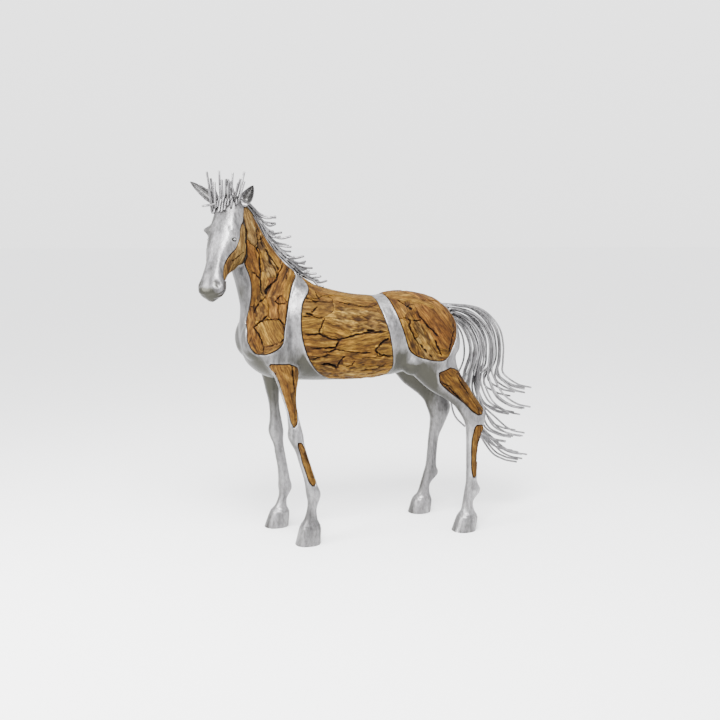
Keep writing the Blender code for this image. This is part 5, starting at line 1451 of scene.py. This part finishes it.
# ---------------------------------------------------------------- eyes and ears
def ear_shell(base, tip, wide, turn, thick=0.0045, bow=0.10):
    """A pointed leaf with its edges brought forward: a crescent section lofted from a narrow foot to a point. Painted
    shade darkens the inside; the rim is left bright.
    """
    base, tip = np.array(base, float), np.array(tip, float)
    axis = tip - base
    length = np.linalg.norm(axis)
    axis /= length
    facing = np.array(turn, float)
    facing -= axis * (facing @ axis)
    facing /= np.linalg.norm(facing)
    across = np.cross(axis, facing)
    rings, half_sides = 26, 12
    points, dirt = [], []
    for i in range(rings + 1):
        t = i / rings
        half = wide * (0.55 + 0.45 * math.sin(min(t / 0.42, 1.0) * math.pi / 2)) * max(1 - max(t - 0.38, 0) ** 1.6 / 0.62**1.6, 0.0) ** 0.8 + 0.0012
        centre = base + axis * length * t - facing * bow * length * math.sin(t * 2.4)
        shell = thick * (0.55 + 0.45 * (1 - t)) + 0.3 * half * max(0.25 - t, 0) / 0.25
        opened = float(smoothstep(np.array([t]), 0.05, 0.28)[0])
        xs = np.cos(np.linspace(0, math.pi, half_sides + 1))
        for x in xs:  # the inner face, one rim to the other
            points.append(centre + across * half * 0.93 * x + facing * (half * 1.05 * opened * (x * x - 0.75) + shell * 0.5 * (1 - x * x)))
            # painted shade inside the ear, fading out towards the rim
            dirt.append(opened * 0.50 * float(1 - smoothstep(np.array([abs(x)]), 0.50, 0.86)[0]))
        for x in xs[::-1][1:-1]:  # the outer face, back again
            points.append(centre + across * half * x + facing * (half * 1.05 * opened * (x * x - 0.75) - shell * (1 - x * x) - 0.0022 - 0.004 * (1 - opened) * 4 * (1 - x * x)))
            dirt.append(0.05)
    sides = 2 * half_sides
    faces = []
    for r in range(rings):
        for k in range(sides):
            a, b = r * sides + k, r * sides + (k + 1) % sides
            faces += [(a, b, b + sides), (a, b + sides, a + sides)]
    faces += [(rings * sides, rings * sides + k, rings * sides + k + 1) for k in range(1, sides - 1)]
    points, faces = np.array(points), np.array(faces)
    span = points[faces]
    if np.einsum("ij,ij->i", span[:, 0] - points.mean(axis=0), np.cross(span[:, 1] - span[:, 0], span[:, 2] - span[:, 0])).sum() < 0:
        faces = faces[:, ::-1]
    return placed(points, HEAD_FRAME), faces, np.array(dirt)


for name, base, tip, turn, wide in (("ear_right", (0.050, -0.056, 2.070), (0.104, -0.212, 2.198), (0.93, 0.40, -0.05), 0.032), ("ear_left", (-0.002, 0.072, 2.062), (-0.004, 0.142, 2.174), (0.93, 0.30, 0.05), 0.037)):
    p, t, dirt = ear_shell(base, tip, wide, turn)
    piece = shown(name, p, t, METAL, dirt=dirt)
for name, side in (("eye_right", -1), ("eye_left", 1)):
    p, f = ellipsoid((0.127, side * (0.0820 if side < 0 else 0.0885), 1.864), (0.0085, 0.0100, 0.0068), place=HEAD_FRAME)
    tri = np.array([(f_[0], f_[i], f_[i + 1]) for f_ in f for i in range(1, len(f_) - 1)])
    piece = shown(name, p, tri, EYE_METAL)

# ---------------------------------------------------------------- floor, light, camera
world = bpy.data.worlds.new("studio")
bpy.context.scene.world = world
world.use_nodes = True
tree = world.node_tree
sky = tree.nodes["Background"]
coordinate = tree.nodes.new("ShaderNodeTexCoord").outputs["Generated"]
split_node = tree.nodes.new("ShaderNodeSeparateXYZ")
tree.links.new(coordinate, split_node.inputs[0])
tone_up = ramp(tree, split_node.outputs["Z"], (0.0, (0.815, 0.815, 0.818)), (0.27, (0.90, 0.90, 0.905)), (0.42, (0.40, 0.405, 0.415)), (0.62, (0.85, 0.855, 0.87)), (1.0, (1.0, 1.0, 1.0)))
tree.links.new(tone_up, sky.inputs["Color"])
sky.inputs["Strength"].default_value = 3.1

floor_mesh = bpy.data.meshes.new("studio_floor")
floor_mesh.from_pydata([(-300, -300, 0), (300, -300, 0), (300, 300, 0), (-300, 300, 0)], [], [(0, 1, 2, 3)])
floor_material, floor_tree, floor_shader = nodes_of("studio_floor")
floor_shader.inputs["Base Color"].default_value = (0.93, 0.93, 0.93, 1)
floor_shader.inputs["Roughness"].default_value = 0.95
floor_mesh.materials.append(floor_material)
floor = bpy.data.objects.new("studio_floor", floor_mesh)
bpy.context.scene.collection.objects.link(floor)


def area_light(name, place, target, size, power, colour=(1, 1, 1)):
    light = bpy.data.lights.new(name, "AREA")
    light.shape, light.size, light.energy, light.color = "SQUARE", size, power, colour
    obj = bpy.data.objects.new(name, light)
    bpy.context.scene.collection.objects.link(obj)
    obj.location = place
    obj.rotation_euler = (Vector(target) - Vector(place)).to_track_quat("-Z", "Y").to_euler()
    return obj


area_light("key", (-1.2, -2.8, 5.2), (0.0, 0.0, 1.3), 2.4, 850)
area_light("side", (-4.5, -1.0, 2.6), (-0.4, 0.0, 1.4), 2.2, 340)

camera_data = bpy.data.cameras.new("camera")
camera_data.sensor_width = 36.0
camera_data.lens = FOCAL / 720 * 36.0
camera = bpy.data.objects.new("camera", camera_data)
bpy.context.scene.collection.objects.link(camera)
camera.matrix_world = Matrix((
    (RIGHT[0], UP[0], BACK[0], EYE[0] - ORIGIN[0]),
    (RIGHT[1], UP[1], BACK[1], EYE[1] - ORIGIN[1]),
    (RIGHT[2], UP[2], BACK[2], EYE[2] - ORIGIN[2]),
    (0, 0, 0, 1),
))
bpy.context.scene.camera = camera
